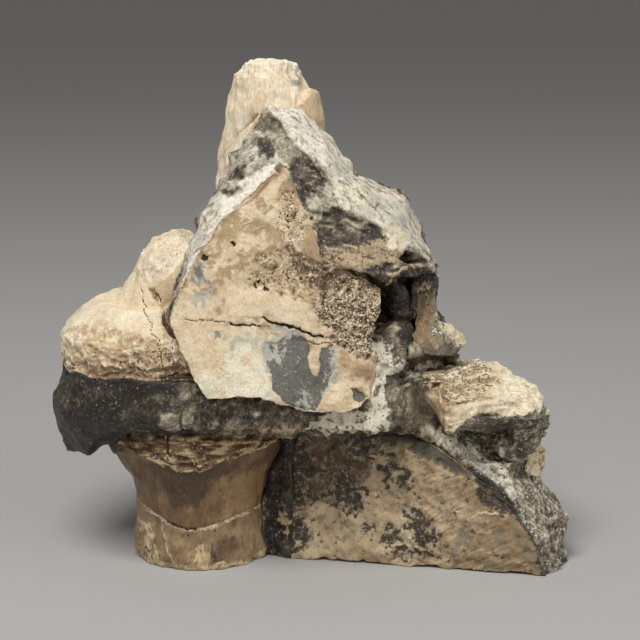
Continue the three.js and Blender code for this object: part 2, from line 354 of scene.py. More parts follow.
def mineral(name, ground, layers, spots, cloud_mm, grain_mm, roughness, relief_mm,
            stretch=(1, 1, 1), toned_by=None):
    """A stone or fossil surface. ground: the tones that are clouded together, or that follow
    the mask toned_by. layers: a mask's name, two tones, roughness, how broken its border is.
    spots: the mask where they lie or nothing, size in mm, how thickly they lie, two tones,
    depth in mm. cloud_mm and grain_mm: how coarse the slow and the fine variation is."""
    material = bpy.data.materials.new(name)
    material.use_nodes = True
    tree = material.node_tree
    shader = tree.nodes["Principled BSDF"]
    where = add(tree, "TexCoord").outputs["Object"]
    drawn = add(tree, "Mapping", None, {"Vector": where, "Scale": stretch}).outputs[0]
    cloud = add(tree, "TexNoise", None, {"Vector": drawn, "Scale": 1000 / cloud_mm, "Detail": 6,
                                         "Roughness": 0.65}).outputs[0]
    # the real grain is about 0.1 mm, too fine to show, so grain_mm is several times coarser
    grain = add(tree, "TexNoise", None, {"Vector": drawn, "Scale": 1000 / grain_mm, "Detail": 6,
                                         "Roughness": 0.8}).outputs[0]
    tone = cloud
    rough = roughness
    if toned_by:
        tone = add(tree, "Attribute", {"attribute_name": toned_by}).outputs["Fac"]
        rough = add(tree, "MapRange", None, {0: tone, 1: 0.0, 2: 0.5, 3: 0.45, 4: roughness}).outputs[0]
        for texture, strength in ((cloud, 0.25), (grain, 0.9)):
            part = add(tree, "Math", {"operation": "MULTIPLY_ADD"},
                       {0: texture, 1: strength, 2: -0.5 * strength}).outputs[0]
            tone = add(tree, "Math", {"operation": "ADD"}, {0: tone, 1: part}).outputs[0]
    low, high = (0, 1) if toned_by else (0.32, 0.68)
    tones = add(tree, "ValToRGB", None, {0: tone})
    while len(tones.color_ramp.elements) < len(ground):
        tones.color_ramp.elements.new(0.5)
    for k, hex_colour in enumerate(ground):
        tones.color_ramp.elements[k].position = low + (high - low) * k / (len(ground) - 1)
        tones.color_ramp.elements[k].color = linear(hex_colour)
    colour = tones.outputs[0]
    for mask, (low, high), mask_roughness, speckle in layers:
        amount = add(tree, "Attribute", {"attribute_name": mask}).outputs["Fac"]
        broken = add(tree, "Math", {"operation": "MULTIPLY_ADD"},
                     {0: grain, 1: speckle, 2: -0.5 * speckle}).outputs[0]
        amount = add(tree, "Math", {"operation": "ADD"}, {0: amount, 1: broken}).outputs[0]
        amount = add(tree, "MapRange", None, {0: amount, 1: 0.3, 2: 0.7}).outputs[0]
        paint = add(tree, "Mix", {"data_type": "RGBA"},
                    {0: cloud, 6: linear(low), 7: linear(high)}).outputs[2]
        colour = add(tree, "Mix", {"data_type": "RGBA"}, {0: amount, 6: colour, 7: paint}).outputs[2]
        rough = add(tree, "Mix", {"data_type": "FLOAT"},
                    {0: amount, 2: rough, 3: mask_roughness}).outputs[0]
    relief = add(tree, "Math", {"operation": "MULTIPLY"}, {0: grain, 1: relief_mm}).outputs[0]
    for mask, size_mm, share, (low, high), depth_mm in spots:
        drawing = add(tree, "TexNoise", None, {"Vector": drawn, "Scale": 1000 / size_mm, "Detail": 2,
                                               "Roughness": 0.6}).outputs[0]
        place = add(tree, "Attribute", {"attribute_name": mask}).outputs["Fac"] if mask else 1.0
        amount = add(tree, "Math", {"operation": "MULTIPLY_ADD"},
                     {0: place, 1: 0.4, 2: drawing}).outputs[0]
        cut = 1.1 - 0.35 * share
        amount = add(tree, "MapRange", None, {0: amount, 1: cut, 2: cut + 0.07}).outputs[0]
        paint = add(tree, "Mix", {"data_type": "RGBA"},
                    {0: grain, 6: linear(low), 7: linear(high)}).outputs[2]
        colour = add(tree, "Mix", {"data_type": "RGBA"}, {0: amount, 6: colour, 7: paint}).outputs[2]
        relief = add(tree, "Math", {"operation": "MULTIPLY_ADD"},
                     {0: amount, 1: -depth_mm, 2: relief}).outputs[0]
    # the fine grain also darkens and lightens everything a little
    shade = add(tree, "MapRange", None, {0: grain, 1: 0.3, 2: 0.7, 3: 0.62, 4: 1.34}).outputs[0]
    colour = add(tree, "Mix", {"data_type": "RGBA", "blend_type": "MULTIPLY"},
                 {0: 1.0, 6: colour, 7: shade}).outputs[2]
    bump = add(tree, "Bump", None, {"Height": relief, "Distance": MM})
    tree.links.new(colour, shader.inputs["Base Color"])
    tree.links.new(rough, shader.inputs["Roughness"])
    tree.links.new(bump.outputs[0], shader.inputs["Normal"])
    return material


BONES = [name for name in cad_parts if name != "matrix"]
# here and in the later sections, outlines and lines are x and z in mm on the piece's front
RIDGE = [(-12, 133), (-8, 129), (-4.5, 124), (1, 120), (5, 117), (9, 114.5), (14, 112), (19, 107),
         (24, 101), (29, 96), (33, 91), (36, 85)]
GREY_FACET = [(-8.5, 132), (-4, 123.5), (-1, 119), (-5.5, 116.5), (-10, 123.5), (-9.5, 127.5)]
APEX = [(-12, 132.5), (-18, 127.5), (-10, 127.5), (-9, 124), (-6.5, 128.5), (-9, 132)]
SCOOP = [(-4, 120.5), (0.5, 119), (4.5, 116), (4, 113), (0.5, 108.5), (-2, 111), (-6.5, 117)]
NICK = [(-24, 114), (-22, 116.5), (-17.5, 118), (-18, 115), (-21, 113)]
BLACK_PATCH = [(0.5, 97.5), (2, 101), (4, 104.5), (7, 106.5), (11, 105), (17.5, 102.5), (22.5, 99.5),
               (21.5, 97.5), (16, 96.5), (8, 96), (2, 94)]
DARK_IN_BAND = [[(4.5, 92), (8, 91), (12.5, 88), (10, 88.5), (6.5, 90.5)],
                [(17, 90.5), (21.5, 91.5), (23, 89.5), (21.5, 84.5), (18, 86.5), (14.5, 87)]]
BROWN_NOTCH = [(-43, 77.5), (-40.5, 78.5), (-39, 77.5), (-36.5, 70.5), (-31.5, 62.5), (-34, 60),
               (-38, 67.5), (-41, 73)]
TONGUE = [(26, 56.5), (28.5, 57.5), (32, 58.3), (39, 58), (39, 54), (36, 54), (32.5, 55.5), (29, 56)]
CREVICE = [(2.5, 99), (4.5, 94.5), (6.5, 91.5), (10, 88.5)]
CAP_TO_FACE_MM = [1.9, 0, 1.1]  # how far the stone moves over the crevice to meet the bone
BLOCK = [(28, 61), (41, 61), (41, 43), (36, 42), (31, 47)]
BLOCK_SET_BACK_MM = 7
HOLLOW = [(21, 84), (34, 84), (35, 66), (25, 64), (21, 70)]
OVERHANG = [(-64, 28), (-50, 28), (-50, 41), (-56, 41), (-63, 37)]
OVERHANG_LIFT_MM = 2.5
TAN_BAND = [(6, 96), (17, 96.5), (21, 98), (26, 98), (28, 92.5), (23, 91.5), (17, 91), (14.5, 88),
            (10, 89), (6.5, 92.5)]
CALCITE_SEAM = [(14, 66), (18, 68), (20.5, 68), (23, 65.5), (25.5, 62.5), (28, 60), (24, 60.5),
                (21.5, 60), (20.5, 57), (22, 53), (22, 43), (19, 41), (17, 48), (18, 59)]
CALCITE_GRAINS = [(0, 47), (8, 51), (17, 50), (19, 46), (12, 43.5), (2, 44)]
GOLDEN = [(-32, 50), (-12, 48), (-2, 50), (2, 46), (-16, 41), (-34, 42)]
# outlines on the front of the block: how pale the bruised stone is there, how rugged; some of them
# stand for light and shade, as marked
FACETS = [
    ([(-80, 64), (-80, 26), (-58, 26), (-54, 38), (-46, 43), (-20, 43), (-20, 60), (-60, 64)],
     -0.02, 0.1),
    # painted highlight: the upper left of the lens, paler as if lit from above
    ([(-80, 62), (-60, 61), (-57, 54), (-66, 49), (-80, 47)], 0.14, 0.15),
    ([(-50, 57.5), (-36, 60), (-36, 45), (-53, 44), (-57, 47.5), (-47.5, 55)], 0.14, 0.15),
    # painted shadow: a dark diagonal band across the lens
    ([(-64.5, 48.5), (-49.5, 59), (-38, 60.5), (-36.5, 58.5), (-47.5, 54), (-57, 47.5), (-63, 45)],
     -0.14, 0.1),
    ([(-37, 58), (-32, 60), (-12, 54), (-2, 54), (0, 46), (-18, 41), (-36, 42)], 0.28, 0.7),
    ([(-36.5, 60), (-33, 60), (-32.5, 49), (-36.5, 49)], 0.36, 0.3),
    ([(-42, 50), (-37, 51.5), (-32, 49.5), (-31, 45), (-38, 43), (-43, 46)], 0.5, 0.7),
    ([(-14, 134), (-32, 103), (-43, 78), (-38, 76), (-30, 95), (-8, 118), (0, 116), (-5, 129)],
     0.66, 0.5),
    ([(-36, 84), (-42, 77), (-37, 62), (-34, 62)], 0.24, 0.4),
    ([(-28, 107), (-24, 112), (-17, 115.5), (-12, 119), (-9, 121), (-6, 118), (-14, 111), (-21, 107),
      (-25, 103)], 1.12, 0.15),
    ([(-30, 105), (-28, 107), (-25, 103), (-31, 96), (-34, 90), (-37, 92)], 0.87, 0.45),
    ([(-23, 123), (-18, 127), (-10, 127), (-9, 121), (-13, 117), (-24, 112), (-27, 112)], 0.66, 0.8),
    ([(-15, 125), (-11, 125), (-9.5, 122.5), (-10.5, 120), (-14, 121)], 0.1, 0.4),
    (NICK, 0.16, 0.8),
    ([(-26, 110), (-23, 112), (-18.5, 111.5), (-22, 110)], 0.25, 0.5),
    (APEX, 0.41, 0.15),
    (GREY_FACET, 0.57, 0.1),
    ([*RIDGE, (60, 86), (60, 150), (-12, 150)], 0.87, 0.25),
    (SCOOP, 0.27, 0.6),
    ([(5.5, 116.5), (16.5, 112), (33, 94), (27, 94), (21.5, 99), (8, 107.5)], 0.86, 0.2),
    ([(-1, 108.5), (5.5, 115), (8, 109.5), (7, 107), (0.5, 100.5), (0, 104.5)], 0.62, 0.15),
    (BLACK_PATCH, 0.31, 0.5),
    ([(1, 95), (7, 94), (10.5, 90), (13, 87.5), (8, 89), (3, 91.5)], 0.4, 0.4),
    ([(14.5, 91), (18.5, 91.5), (21.5, 90), (20, 87), (16, 86.5)], 0.22, 0.6),
    # painted shade: the dark gap below the tan band, beside the face bone
    ([(7, 91), (12, 89), (16, 87), (21, 86), (22, 82), (17, 85), (12, 87)], 0.08, 0.3),
    # the hollow, painted near black: dark stone with painted shade over it
    ([(21, 85), (24, 87), (28, 88.5), (37, 86.5), (38, 78), (32, 72), (30, 64), (25, 66), (21, 72)],
     -0.02, 0.4),
    ([(34, 92), (40, 88), (42, 76), (38.5, 74), (37.5, 84)], 0.5, 0.9),
    ([(26.5, 65), (44, 66), (44, 57.5), (32, 58.5), (26, 61)], 0.42, 0.4),
    ([(22, 57), (34, 56), (38, 54), (38, 44), (32, 43), (23, 46)], 0.42, 0.2),
    ([(20.5, 62.5), (26.5, 62.5), (29, 60), (27, 57.5), (22, 58)], 0.16, 0.5),
    ([(35, 44), (45, 49), (72, 46), (70, 33), (60, 28), (50, 34)], 0.34, 0.9),
    ([(60, 47), (73, 47), (73, 39), (62, 39)], 0.4, 0.9),
    ([(33, 43), (44, 38), (51, 34), (58, 29), (64, 25), (78, 22), (78, -2), (68, -2), (66, 8), (60, 17),
      (55, 24), (46, 30), (38, 36)], 0.47, 0.9),
    ([(33, 44), (44, 38), (51, 34), (57, 29), (62, 23), (58, 22), (50, 29), (43, 34), (38, 37)],
     0.78, 0.7),
    ([(49, 29), (56, 26), (60, 19), (56, 17), (50, 21)], 0.05, 0.3),
    ([(-13, 36), (-2, 36), (-4, -2), (-13, -2)], 0.06, 0.5),
]
DENTS = [  # outline, depth in mm, width of its border in mm
    ([(-8.5, 44), (-4, 44), (-4, -2), (-8.5, -2)], -1.2, 1.8),
    (TONGUE, -0.7, 0.6),
    ([(-14, 131), (-9, 130), (-7, 127), (-9.5, 124), (-12, 126), (-17, 127.5)], 0.6, 0.8),
    (SCOOP, 1.1, 1.0),
    (BLACK_PATCH, 0.7, 1.0),
    ([(26, 92), (28, 93.5), (32, 92), (33.5, 90), (30, 89.5)], 5.0, 0.7),
    ([(21, 76), (23, 84), (30, 85), (35, 82), (33, 76), (30, 67), (24, 66)], -1.0, 2.5),
    ([(22, 80), (30, 82), (34, 80), (35, 66), (31, 62), (25, 62), (21, 70)], -4.0, 3.0),
    ([(20, 63), (23, 64), (28, 60.5), (26, 59), (22, 59)], 1.5, 0.8),
    (NICK, 0.8, 0.6),
]
STEPS = [  # line whose left side has broken away, depth in mm, how far the scar reaches
    (RIDGE[:8], 1.3, 4),
    ([(0, 105.5), (6, 106), (12, 105), (17, 103), (23, 99)], 0.8, 4),
    ([(-30, 103), (-21, 112), (-12, 120), (-8, 119)], 0.8, 5),
]
CRACK = [(-36, 50), (-36.5, 46), (-36, 41), (-37, 36)]
SCRATCHES = [[(-78, 51), (-72.5, 48.8)], [(-71.5, 42.3), (-66.5, 41.2)],
             [(-47.6, 62), (-47, 59), (-45, 56)], [(-61, 48.5), (-58, 51), (-54, 53)],
             [(-66, 58), (-63, 55)], [(-52, 42), (-49, 44), (-46, 43.5)]]
# the way across each nearly flat vein, its distance from the middle and half its thickness in mm
VEINS = [((0.42, 0.2, 0.89), 14, 0.35), ((0.75, -0.3, -0.6), -26, 0.3), ((0.3, -0.25, 0.92), 66, 0.3),
         ((0.88, 0.3, 0.36), 30, 0.25)]
RIM_OF_HOLLOW = [(22, 84), (24, 87.7), (27.5, 89.3), (32, 89), (37, 87.5)]

matrix, places, normals, gap, hidden = rough_out(
    "matrix", "limestone_matrix", voxel_mm=0.5, neighbours=BONES)
x, y, z = places.T
closing = ramp(3.6 - to_line(places[:, [0, 2]], CREVICE), 0, 3) * ramp(8 - y, 0, 4)
places -= closing[:, None] * CAP_TO_FACE_MM
facing = ramp(-normals[:, 1], -0.25, 0.2) * ramp(25 - y, 0, 15)
sharp = front_of(places, 0.4, 2)
ragged = front_of(places, 1.0)

bruising_and_painted_light = 0.3 + (0.34 - 0.09 * facing) * rough_noise(places, 14, 3, 4)
rugged = np.full(len(places), 0.8)
for outline, amount, strength in FACETS:
    cover = patch(ragged, outline, 0.8) * facing
    bruising_and_painted_light += (amount - bruising_and_painted_light) * cover
    rugged += (strength - rugged) * cover
height = np.zeros(len(places))
for outline, depth, border in DENTS:
    height -= depth * patch(sharp, outline, border) * facing
for line, depth, reach in STEPS:
    away = to_line(sharp, line)
    below = sharp[:, 1] < np.interp(sharp[:, 0], *np.array(line).T)
    ends = (ramp(sharp[:, 0], line[0][0] - 1, line[0][0] + 1)
            * ramp(line[-1][0] + 1 - sharp[:, 0], -1, 1))
    height -= (depth * ramp(np.where(below, away, -away), -0.3, 0.6) * np.exp(-away / reach)
               * ends * facing)
height += 0.5 * ramp(0.5 - to_line(sharp, RIM_OF_HOLLOW), -0.2, 0.5) * facing
height -= 0.8 * ramp(0.5 - to_line(sharp, CRACK), -0.3, 0.3) * facing
height += rugged * (1.6 * fractured(places * [1, 1, 0.7], 9, 1) + 0.8 * fractured(places, 3.6, 2)
                    + 0.3 * fractured(places, 1.7, 3))
along, across = x - z, x + z
along, across = np.where(x < -7, [across, along], [along, across])
streaked = rough_noise(np.c_[0.12 * along, 0.7 * y, 0.7 * across], 0.6, 3, 70)
wispy = rough_noise(np.c_[0.2 * x, 0.7 * y, z + 0.2 * x], 1, 3, 77)
lined = ramp(x, -4, 1) * ramp(z, 80, 86)
wispy = 0.55 * (1 - lined) * rough_noise(places, 2.2, 4, 78) + lined * wispy
streaked *= 1 - 0.6 * np.maximum(patch(ragged, GREY_FACET, 0.8), patch(ragged, APEX, 0.8))
pale = ramp(bruising_and_painted_light, 0.4, 0.7)
height += (0.08 * streaked * pale + 0.2 * wispy * (1 - pale)) * facing
flat = places[:, [0, 2]]
block = patch(flat, BLOCK, 2.5) * facing
hollow = patch(flat, HOLLOW, 2) * facing
height += hollow * (1.3 * fractured(places, 5, 85) + 0.4 * fractured(places, 2, 86))
height = np.where(hidden, CLEARANCE_MM, height)
places[:, 1] += BLOCK_SET_BACK_MM * block
places[:, 2] += OVERHANG_LIFT_MM * patch(flat, OVERHANG, 2.5)
push_out(matrix, places, normals, height)

stands = standing_out(matrix)
hollowed = standing_out(matrix, 14)
broken = front_of(places, 1.6, 4, 91)
tongue = patch(ragged, TONGUE, 0.5) * facing
rubble = facing * ramp(x, 33, 38) * ramp(50 - z, 0, 4) * ramp(bruising_and_painted_light, 0.1, 0.3)
wobble = 1.6 * rough_noise(places, 16, 3, 87)
sheets = [ramp(width - abs(places @ np.array(across) - off + wobble), -0.35, 0.1)
          for across, off, width in VEINS]
keep_masks(matrix, {
    # painted shade darkens the tone along the seams with the bones
    "bruising_and_painted_light": bruising_and_painted_light + 1.1 * np.clip(stands, -0.2, 0.25) * (0.2 + rugged) * (1 - 0.8 * hollow)
        + 0.22 * np.clip(hollowed, -0.6, 0.6) * rugged + 0.5 * streaked * pale
        + 0.42 * wispy * (1 - pale) - 0.3 * ramp(1.7 - gap, 0, 0.9) * ramp(88 - z, 0, 8) * facing,
    "flecked": (0.4 + 0.6 * rugged) * ramp(bruising_and_painted_light, 0.0, 0.3) * (1 - 0.5 * pale)
        * ramp(rough_noise(places, 5, 2, 81), -0.5, 0.4),
    "pitted": pale * (0.4 + 0.6 * rugged),
    "rubble": rubble * (0.85 + 0.5 * rough_noise(places, 3, 3, 83)),
    "bluish": 0.6 * facing * ramp(streaked + rough_noise(places, 8, 2, 72), -0.1, 0.6)
        * pale * ramp(z, 76, 90) * ramp(0.96 - bruising_and_painted_light, 0, 0.1),
    "scratched": facing * (0.6 * strokes(front_of(places, 0.15, 1), SCRATCHES, 0.25, -0.3, 0.2)),
    "veined": (1 - facing) * np.max(sheets, axis=0) * ramp(rough_noise(places, 9, 3, 84), -0.35, 0.15),
    "golden": facing * patch(ragged, GOLDEN, 1.5),
    "calcite": facing * np.maximum(
        patch(ragged, CALCITE_SEAM, 0.8)
            * (1.3 - 0.55 * ramp(x + 0.5 * z, 50, 56) + 0.9 * rough_noise(places, 2.5, 4, 82)),
        patch(ragged, CALCITE_GRAINS, 0.8) * (1.15 + 1.5 * rough_noise(places, 2, 4, 8))),
    "tan": facing * np.max([
        patch(broken, TAN_BAND, 0.8) * (0.75 + 0.6 * wispy)
            * (1 - patches(broken, DARK_IN_BAND, 0.6)),
        0.4 * patch(broken, [(0, 97), (6.5, 94), (10, 90), (6, 90), (1, 93)], 0.8),
        tongue,
        patch(ragged, [(-9.5, 14), (-7, 15.5), (-5, 11), (-5.5, 6), (-9, 7), (-10, 11)], 0.6)
            * ramp(rough_noise(places, 2, 2, 9), -0.2, 0.3),
        0.7 * patch(ragged, [(-11, 46), (-5, 47), (-4, 43), (-9, 42.5)], 0.8),
        0.6 * patch(ragged, BROWN_NOTCH, 1.2),
        0.5 * patch(ragged, [(30, 76), (35, 76), (35.5, 82), (33, 84), (30.5, 82)], 1.5),
        (0.7 + 0.5 * wispy) * ramp(0.5 - to_line(sharp, RIM_OF_HOLLOW), -0.3, 0.4)], axis=0),
    "cream": facing * np.max([
        patch(broken, [(21, 101), (26, 101), (29, 96), (26, 93), (22, 96)]),
        tongue * (0.55 + 0.8 * streaked),
        0.6 * patch(
            broken, [(8, 111.5), (12, 114), (16.5, 111), (20, 106.5), (15.5, 106), (10, 109)], 1.5)
            * (0.8 + streaked)], axis=0),
})

# fresh stone is near black with a dull gleam; where it is bruised it turns grey and white
finish_piece(
    matrix, "matrix",
    mineral("broken_limestone", ["#221c15", "#443c30", "#716653", "#a79c85", "#cfc6b1", "#efe7d6"],
            [("bluish", ("#8f918c", "#c2c2ba"), 0.65, 3), ("tan", ("#8f7657", "#dcc6a1"), 0.8, 3.5),
             ("cream", ("#dccba8", "#f5ead0"), 0.8, 2.5),
             ("calcite", ("#cbbea6", "#f8efdc"), 0.55, 2.0),
             ("scratched", ("#8d8778", "#aaa595"), 0.7, 0.4),
             ("veined", ("#a39b89", "#e3dccb"), 0.6, 1.2)],
            [("flecked", 0.6, 0.3, ("#958e7e", "#d5cfc0"), -0.05),
             ("flecked", 1.7, 0.05, ("#857e6f", "#c5bfb0"), -0.1),
             ("rubble", 0.9, 0.42, ("#2b261f", "#4d463b"), 0.15),
             ("rubble", 0.7, 0.42, ("#c5bfb0", "#efe9db"), -0.1),
             ("pitted", 0.7, 0.3, ("#3a3630", "#6b665c"), 0.15),
             ("golden", 0.8, 0.3, ("#8a7049", "#a58a5c"), -0.05),
             ("tan", 1.0, 0.15, ("#5e4830", "#7d6142"), 0.3),
             ("calcite", 0.9, -0.05, ("#6b6253", "#998f7c"), 0.2),
             ("tan", 0.6, 0.2, ("#d9c39b", "#e6d6b4"), -0.05)],
            cloud_mm=5, grain_mm=0.8, roughness=0.7, relief_mm=0.25, toned_by="bruising_and_painted_light"),
    hidden)

# -- Lower vertebra ----------------------------------------------------------------
# A spool-shaped vertebra standing in the matrix. Its wall is polished brown bone, its
# upper rim is broken to the spongy inside, and a healed crack rings its pale foot.

RIM_EDGE = ([-60, -56, -49, -45, -42, -37, -32, -29, -27, -24, -20, -16, -5],
            [37, 37, 35.5, 34, 32.5, 31, 31, 31.5, 33, 34.5, 35, 36, 38])
FOOT_CRACK = ([-60, -53, -47, -44, -42, -38, -35, -31, -26, -22, -18, -5],
              [18, 17.5, 16, 15.2, 14, 13, 12.7, 12.8, 14, 15, 15.6, 17])
CRACK_PALENESS = ([-60, -52, -45, -42, -38, -34, -31, -26, -18], [0.4, 1, 1, 0.5, 0, 0, 0.9, 0.6, 1])
STREAKS = [[(-43.5, 14), (-42.5, 10), (-41, 5), (-39.5, 1)], [(-51, 12), (-47, 10), (-46, 6), (-44, 2)]]
GLINTS = [[(-47, 35.5), (-43, 34.5), (-38, 32), (-38, 31), (-43, 32.5), (-47, 34)],
          [(-28, 38), (-24, 39.5), (-22, 38), (-25, 35.5), (-28, 36)]]
SHADOW_UNDER_RIM = [(-46, 34), (-36, 32), (-24, 34), (-24, 31), (-29, 27), (-33, 20), (-40, 19), (-43, 27)]
DARK_FOOT = [[(-29, 8), (-26, 10), (-21, 9), (-20, 5), (-24, 2), (-28, 0)],
             [(-49, 8), (-45, 8), (-45, 4), (-49, 4)]]
RUST = [[(-25, 32), (-20, 34), (-20, 29), (-23, 26)], [(-53, 30), (-49, 28), (-49, 24), (-52, 24)],
        [(-26, 9), (-22, 9), (-23, 5), (-27, 4)]]
PALE_FOOT = [[(-52, 12), (-47, 12), (-46, 9), (-47, 6), (-43, 1), (-48, 1), (-50, 6)],
             [(-33, 8), (-30, 8), (-28, 4), (-30, 0), (-35, 0), (-34, 5)]]


def pores(places, size, openness, seed=0):
    """1 inside the ragged pores of spongy bone and 0 on the struts between them."""
    depth = noise(places, size, seed) + 0.6 * noise(places, size / 2, seed + 1)
    return ramp(depth + 0.5 * openness, 0.5, 0.8)


lower, places, normals, gap, hidden = rough_out(
    "lower_vertebra", "lower_vertebra_fossil", voxel_mm=0.36, neighbours=["matrix"])
x, _, z = places.T
facing = ramp(-normals[:, 1], -0.3, 0.1)
ragged = front_of(places, 0.6, 2)
rim_height = ragged[:, 1] - np.interp(ragged[:, 0], *RIM_EDGE)
foot_height = np.interp(ragged[:, 0], *FOOT_CRACK) - z
rim = ramp(rim_height, -0.3, 0.5)
foot = ramp(foot_height, -0.3, 0.3)
fissure = front_of(places, 0.3, 1.5)
paleness = np.interp(x, *CRACK_PALENESS)
fissured = np.abs(np.interp(fissure[:, 0], *FOOT_CRACK) - fissure[:, 1])
crack = ramp(0.2 - fissured, -0.2, 0.1)
streaks = strokes(ragged, STREAKS, 0.3, -0.4, 0.4) * facing
layers = places * [0.3, 0.3, 1]
grit = rough_noise(layers, 1.3, 3, 5)

height = rim * (0.1 + 0.7 * grit + 0.3 * fractured(layers, 2, 6))
height += 0.6 * ramp(0.6 - np.abs(rim_height - 0.4), -0.6, 0.6)
height += (foot * (0.35 + 0.4 * rough_noise(places, 6, 2, 7) + 0.3 * fractured(places, 4, 12))
           - 0.5 * crack)
height += 0.25 * streaks + (1 - rim) * (1 - foot) * 0.15 * rough_noise(places * [1, 1, 0.3], 5, 2, 8)
height += 0.5 * ramp(1.6 - z, -0.6, 1) * rough_noise(places, 3, 2, 13)
height = np.where(hidden & (rim_height < 3), CLEARANCE_MM, height - 0.3)
push_out(lower, places, normals, height)

places, normals = points_of(lower)
x, _, z = places.T
holes = pores(layers, 0.8, -0.9, 9) * rim
push_out(lower, places, normals, -0.4 * np.where(hidden, 0, holes))
stands = standing_out(lower)
split = ramp(0.35 - np.abs(x + 40.5 + 0.3 * noise(places, 2, 16)), -0.3, 0.2) * ramp(z, 34, 35)
glints = facing * patches(ragged, GLINTS, 0.6)
keep_masks(lower, {
    "spongy": rim,
    "seams": rim * (0.35 - 1.3 * grit + 0.4 * rough_noise(places, 2.5, 3, 19)),
    "pore": np.maximum(holes, split * facing),
    "foot": foot + 0.3 * rough_noise(places, 4, 3, 10) * foot,
    "crack": crack * (1 - 0.9 * paleness),
    "crack_lip": (paleness + 0.6 * noise(places, 2, 18)) * ramp(0.32 - fissured, -0.2, 0.3) * facing
        + 0.8 * streaks,
    # painted shade below the broken rim under the overhanging stone and along the seam with the matrix;
    # the dark patches on the foot and the upright mottling are the bone's own
    "umber_and_shade": facing * (patch(ragged, SHADOW_UNDER_RIM, 2.5) * (1 - foot)
                       + 0.55 * patches(ragged, DARK_FOOT, 1.8)) + ramp(1.4 - gap, 0, 0.8) * facing
        + 0.5 * ramp(rough_noise(places * [1, 1, 0.4], 6, 4, 11), 0.1, 0.5),
    # painted light: the right of the wall is paler, as if lit from the right
    "painted_light_on_right": (1 - foot) * facing * ramp(ragged[:, 0], -30, -21) * ramp(30 - ragged[:, 1], -2, 4),
    "rust": facing * patches(ragged, RUST, 1.2) * (0.6 + 0.8 * rough_noise(places, 2, 3, 14)),
    # pale bone on the foot, rubbed crests and pale grit, with painted highlights where the glints lie
    # on the rim
    "pale": facing * patches(ragged, PALE_FOOT, 1.0)
            * 0.75 * (0.7 + 1.2 * rough_noise(places, 2, 4, 15)) + glints * (0.5 + grit)
        + 2.6 * np.clip(stands, 0, 0.25) * (0.3 + rim + foot) * ramp(gap, 0.7, 2)
        + (0.6 + 0.5 * grit) * ramp(2.2 + 1.5 * grit - z, -0.6, 1) + rim * ramp(grit, 0.2, 0.6) * 0.8
        + (0.25 + 1.0 * rough_noise(places, 3, 3, 17)) * ramp(0.4 - np.abs(rim_height), -0.4, 0.4),
})

# bone polished by handling: warm brown, a little glossy, with fine upright grain
finish_piece(
    lower, "lower_vertebra",
    mineral("polished_brown_bone", ["#634a32", "#785d40", "#8e724c"],
            [("painted_light_on_right", ("#866a45", "#a4865e"), 0.45, 1.2), ("foot", ("#7a6146", "#ac926d"), 0.5, 3),
             ("umber_and_shade", ("#473525", "#624c36"), 0.42, 1.6), ("rust", ("#54362a", "#745039"), 0.5, 2.5),
             ("spongy", ("#6f573b", "#a5875f"), 0.75, 3),
             ("seams", ("#3f2e20", "#64492f"), 0.75, 2.5), ("pale", ("#b59c74", "#dbc79c"), 0.6, 2.5),
             ("crack_lip", ("#b09a76", "#dccba9"), 0.6, 1.6),
             ("pore", ("#2e2117", "#483525"), 0.8, 0.8),
             ("crack", ("#211a15", "#33291f"), 0.8, 0.3)],
            [("spongy", 0.8, 0.08, ("#33261b", "#4d3a29"), 0.25),
             ("spongy", 0.7, 0.25, ("#b7996f", "#d4b98f"), -0.1),
             ("foot", 1.2, 0.1, ("#54402c", "#6f5840"), 0.05)],
            cloud_mm=3, grain_mm=0.7, roughness=0.42, relief_mm=0.12, stretch=(1, 1, 0.5)),
    hidden)

# -- Upper vertebra ----------------------------------------------------------------
# A second and larger vertebra, cream-coloured and matt. A broad rim broken to the
# spongy inside, a smooth hollow wall that leans right, and a rough lump on top.

RIM_TOP = ([-76, -72.5, -66.5, -61.5, -57, -52, -47.5, -42, -36],
           [65, 69, 72.5, 74, 74, 73, 72, 70.5, 66])
LUMP = [(-62, 80), (-51, 83), (-46, 84.5), (-40, 87.5), (-36, 92), (-33, 100), (-64, 100)]
BEVEL = [(-45, 83), (-40, 87), (-35, 92), (-33, 88), (-39, 80), (-43, 78)]
NOTCH = [(-47, 82.5), (-44.5, 83), (-42.5, 80), (-43.5, 78.5), (-45.5, 80)]
SEAM = [(-42.5, 78.5), (-38, 79), (-36.5, 74), (-35, 69), (-33, 63), (-31, 59), (-38, 59), (-40.5, 64),
        (-41.5, 70)]
UPPER_CRACKS = [
    [(-49, 83), (-48, 78.5), (-46, 76.5), (-44.5, 74), (-45, 73), (-42.5, 71), (-42, 69), (-41.5, 65.5),
     (-41, 62)],
    [(-46, 82.5), (-44, 81), (-42.5, 79)],
]
FAINT_CRACK = [(-51, 81), (-52, 78), (-51.5, 75)]


def rubbed(stands, gap):
    """From 0 to 1 on crests that have rubbed pale, away from any neighbour."""
    return 4 * np.clip(stands, 0, 0.25) * ramp(gap, 0.7, 2)


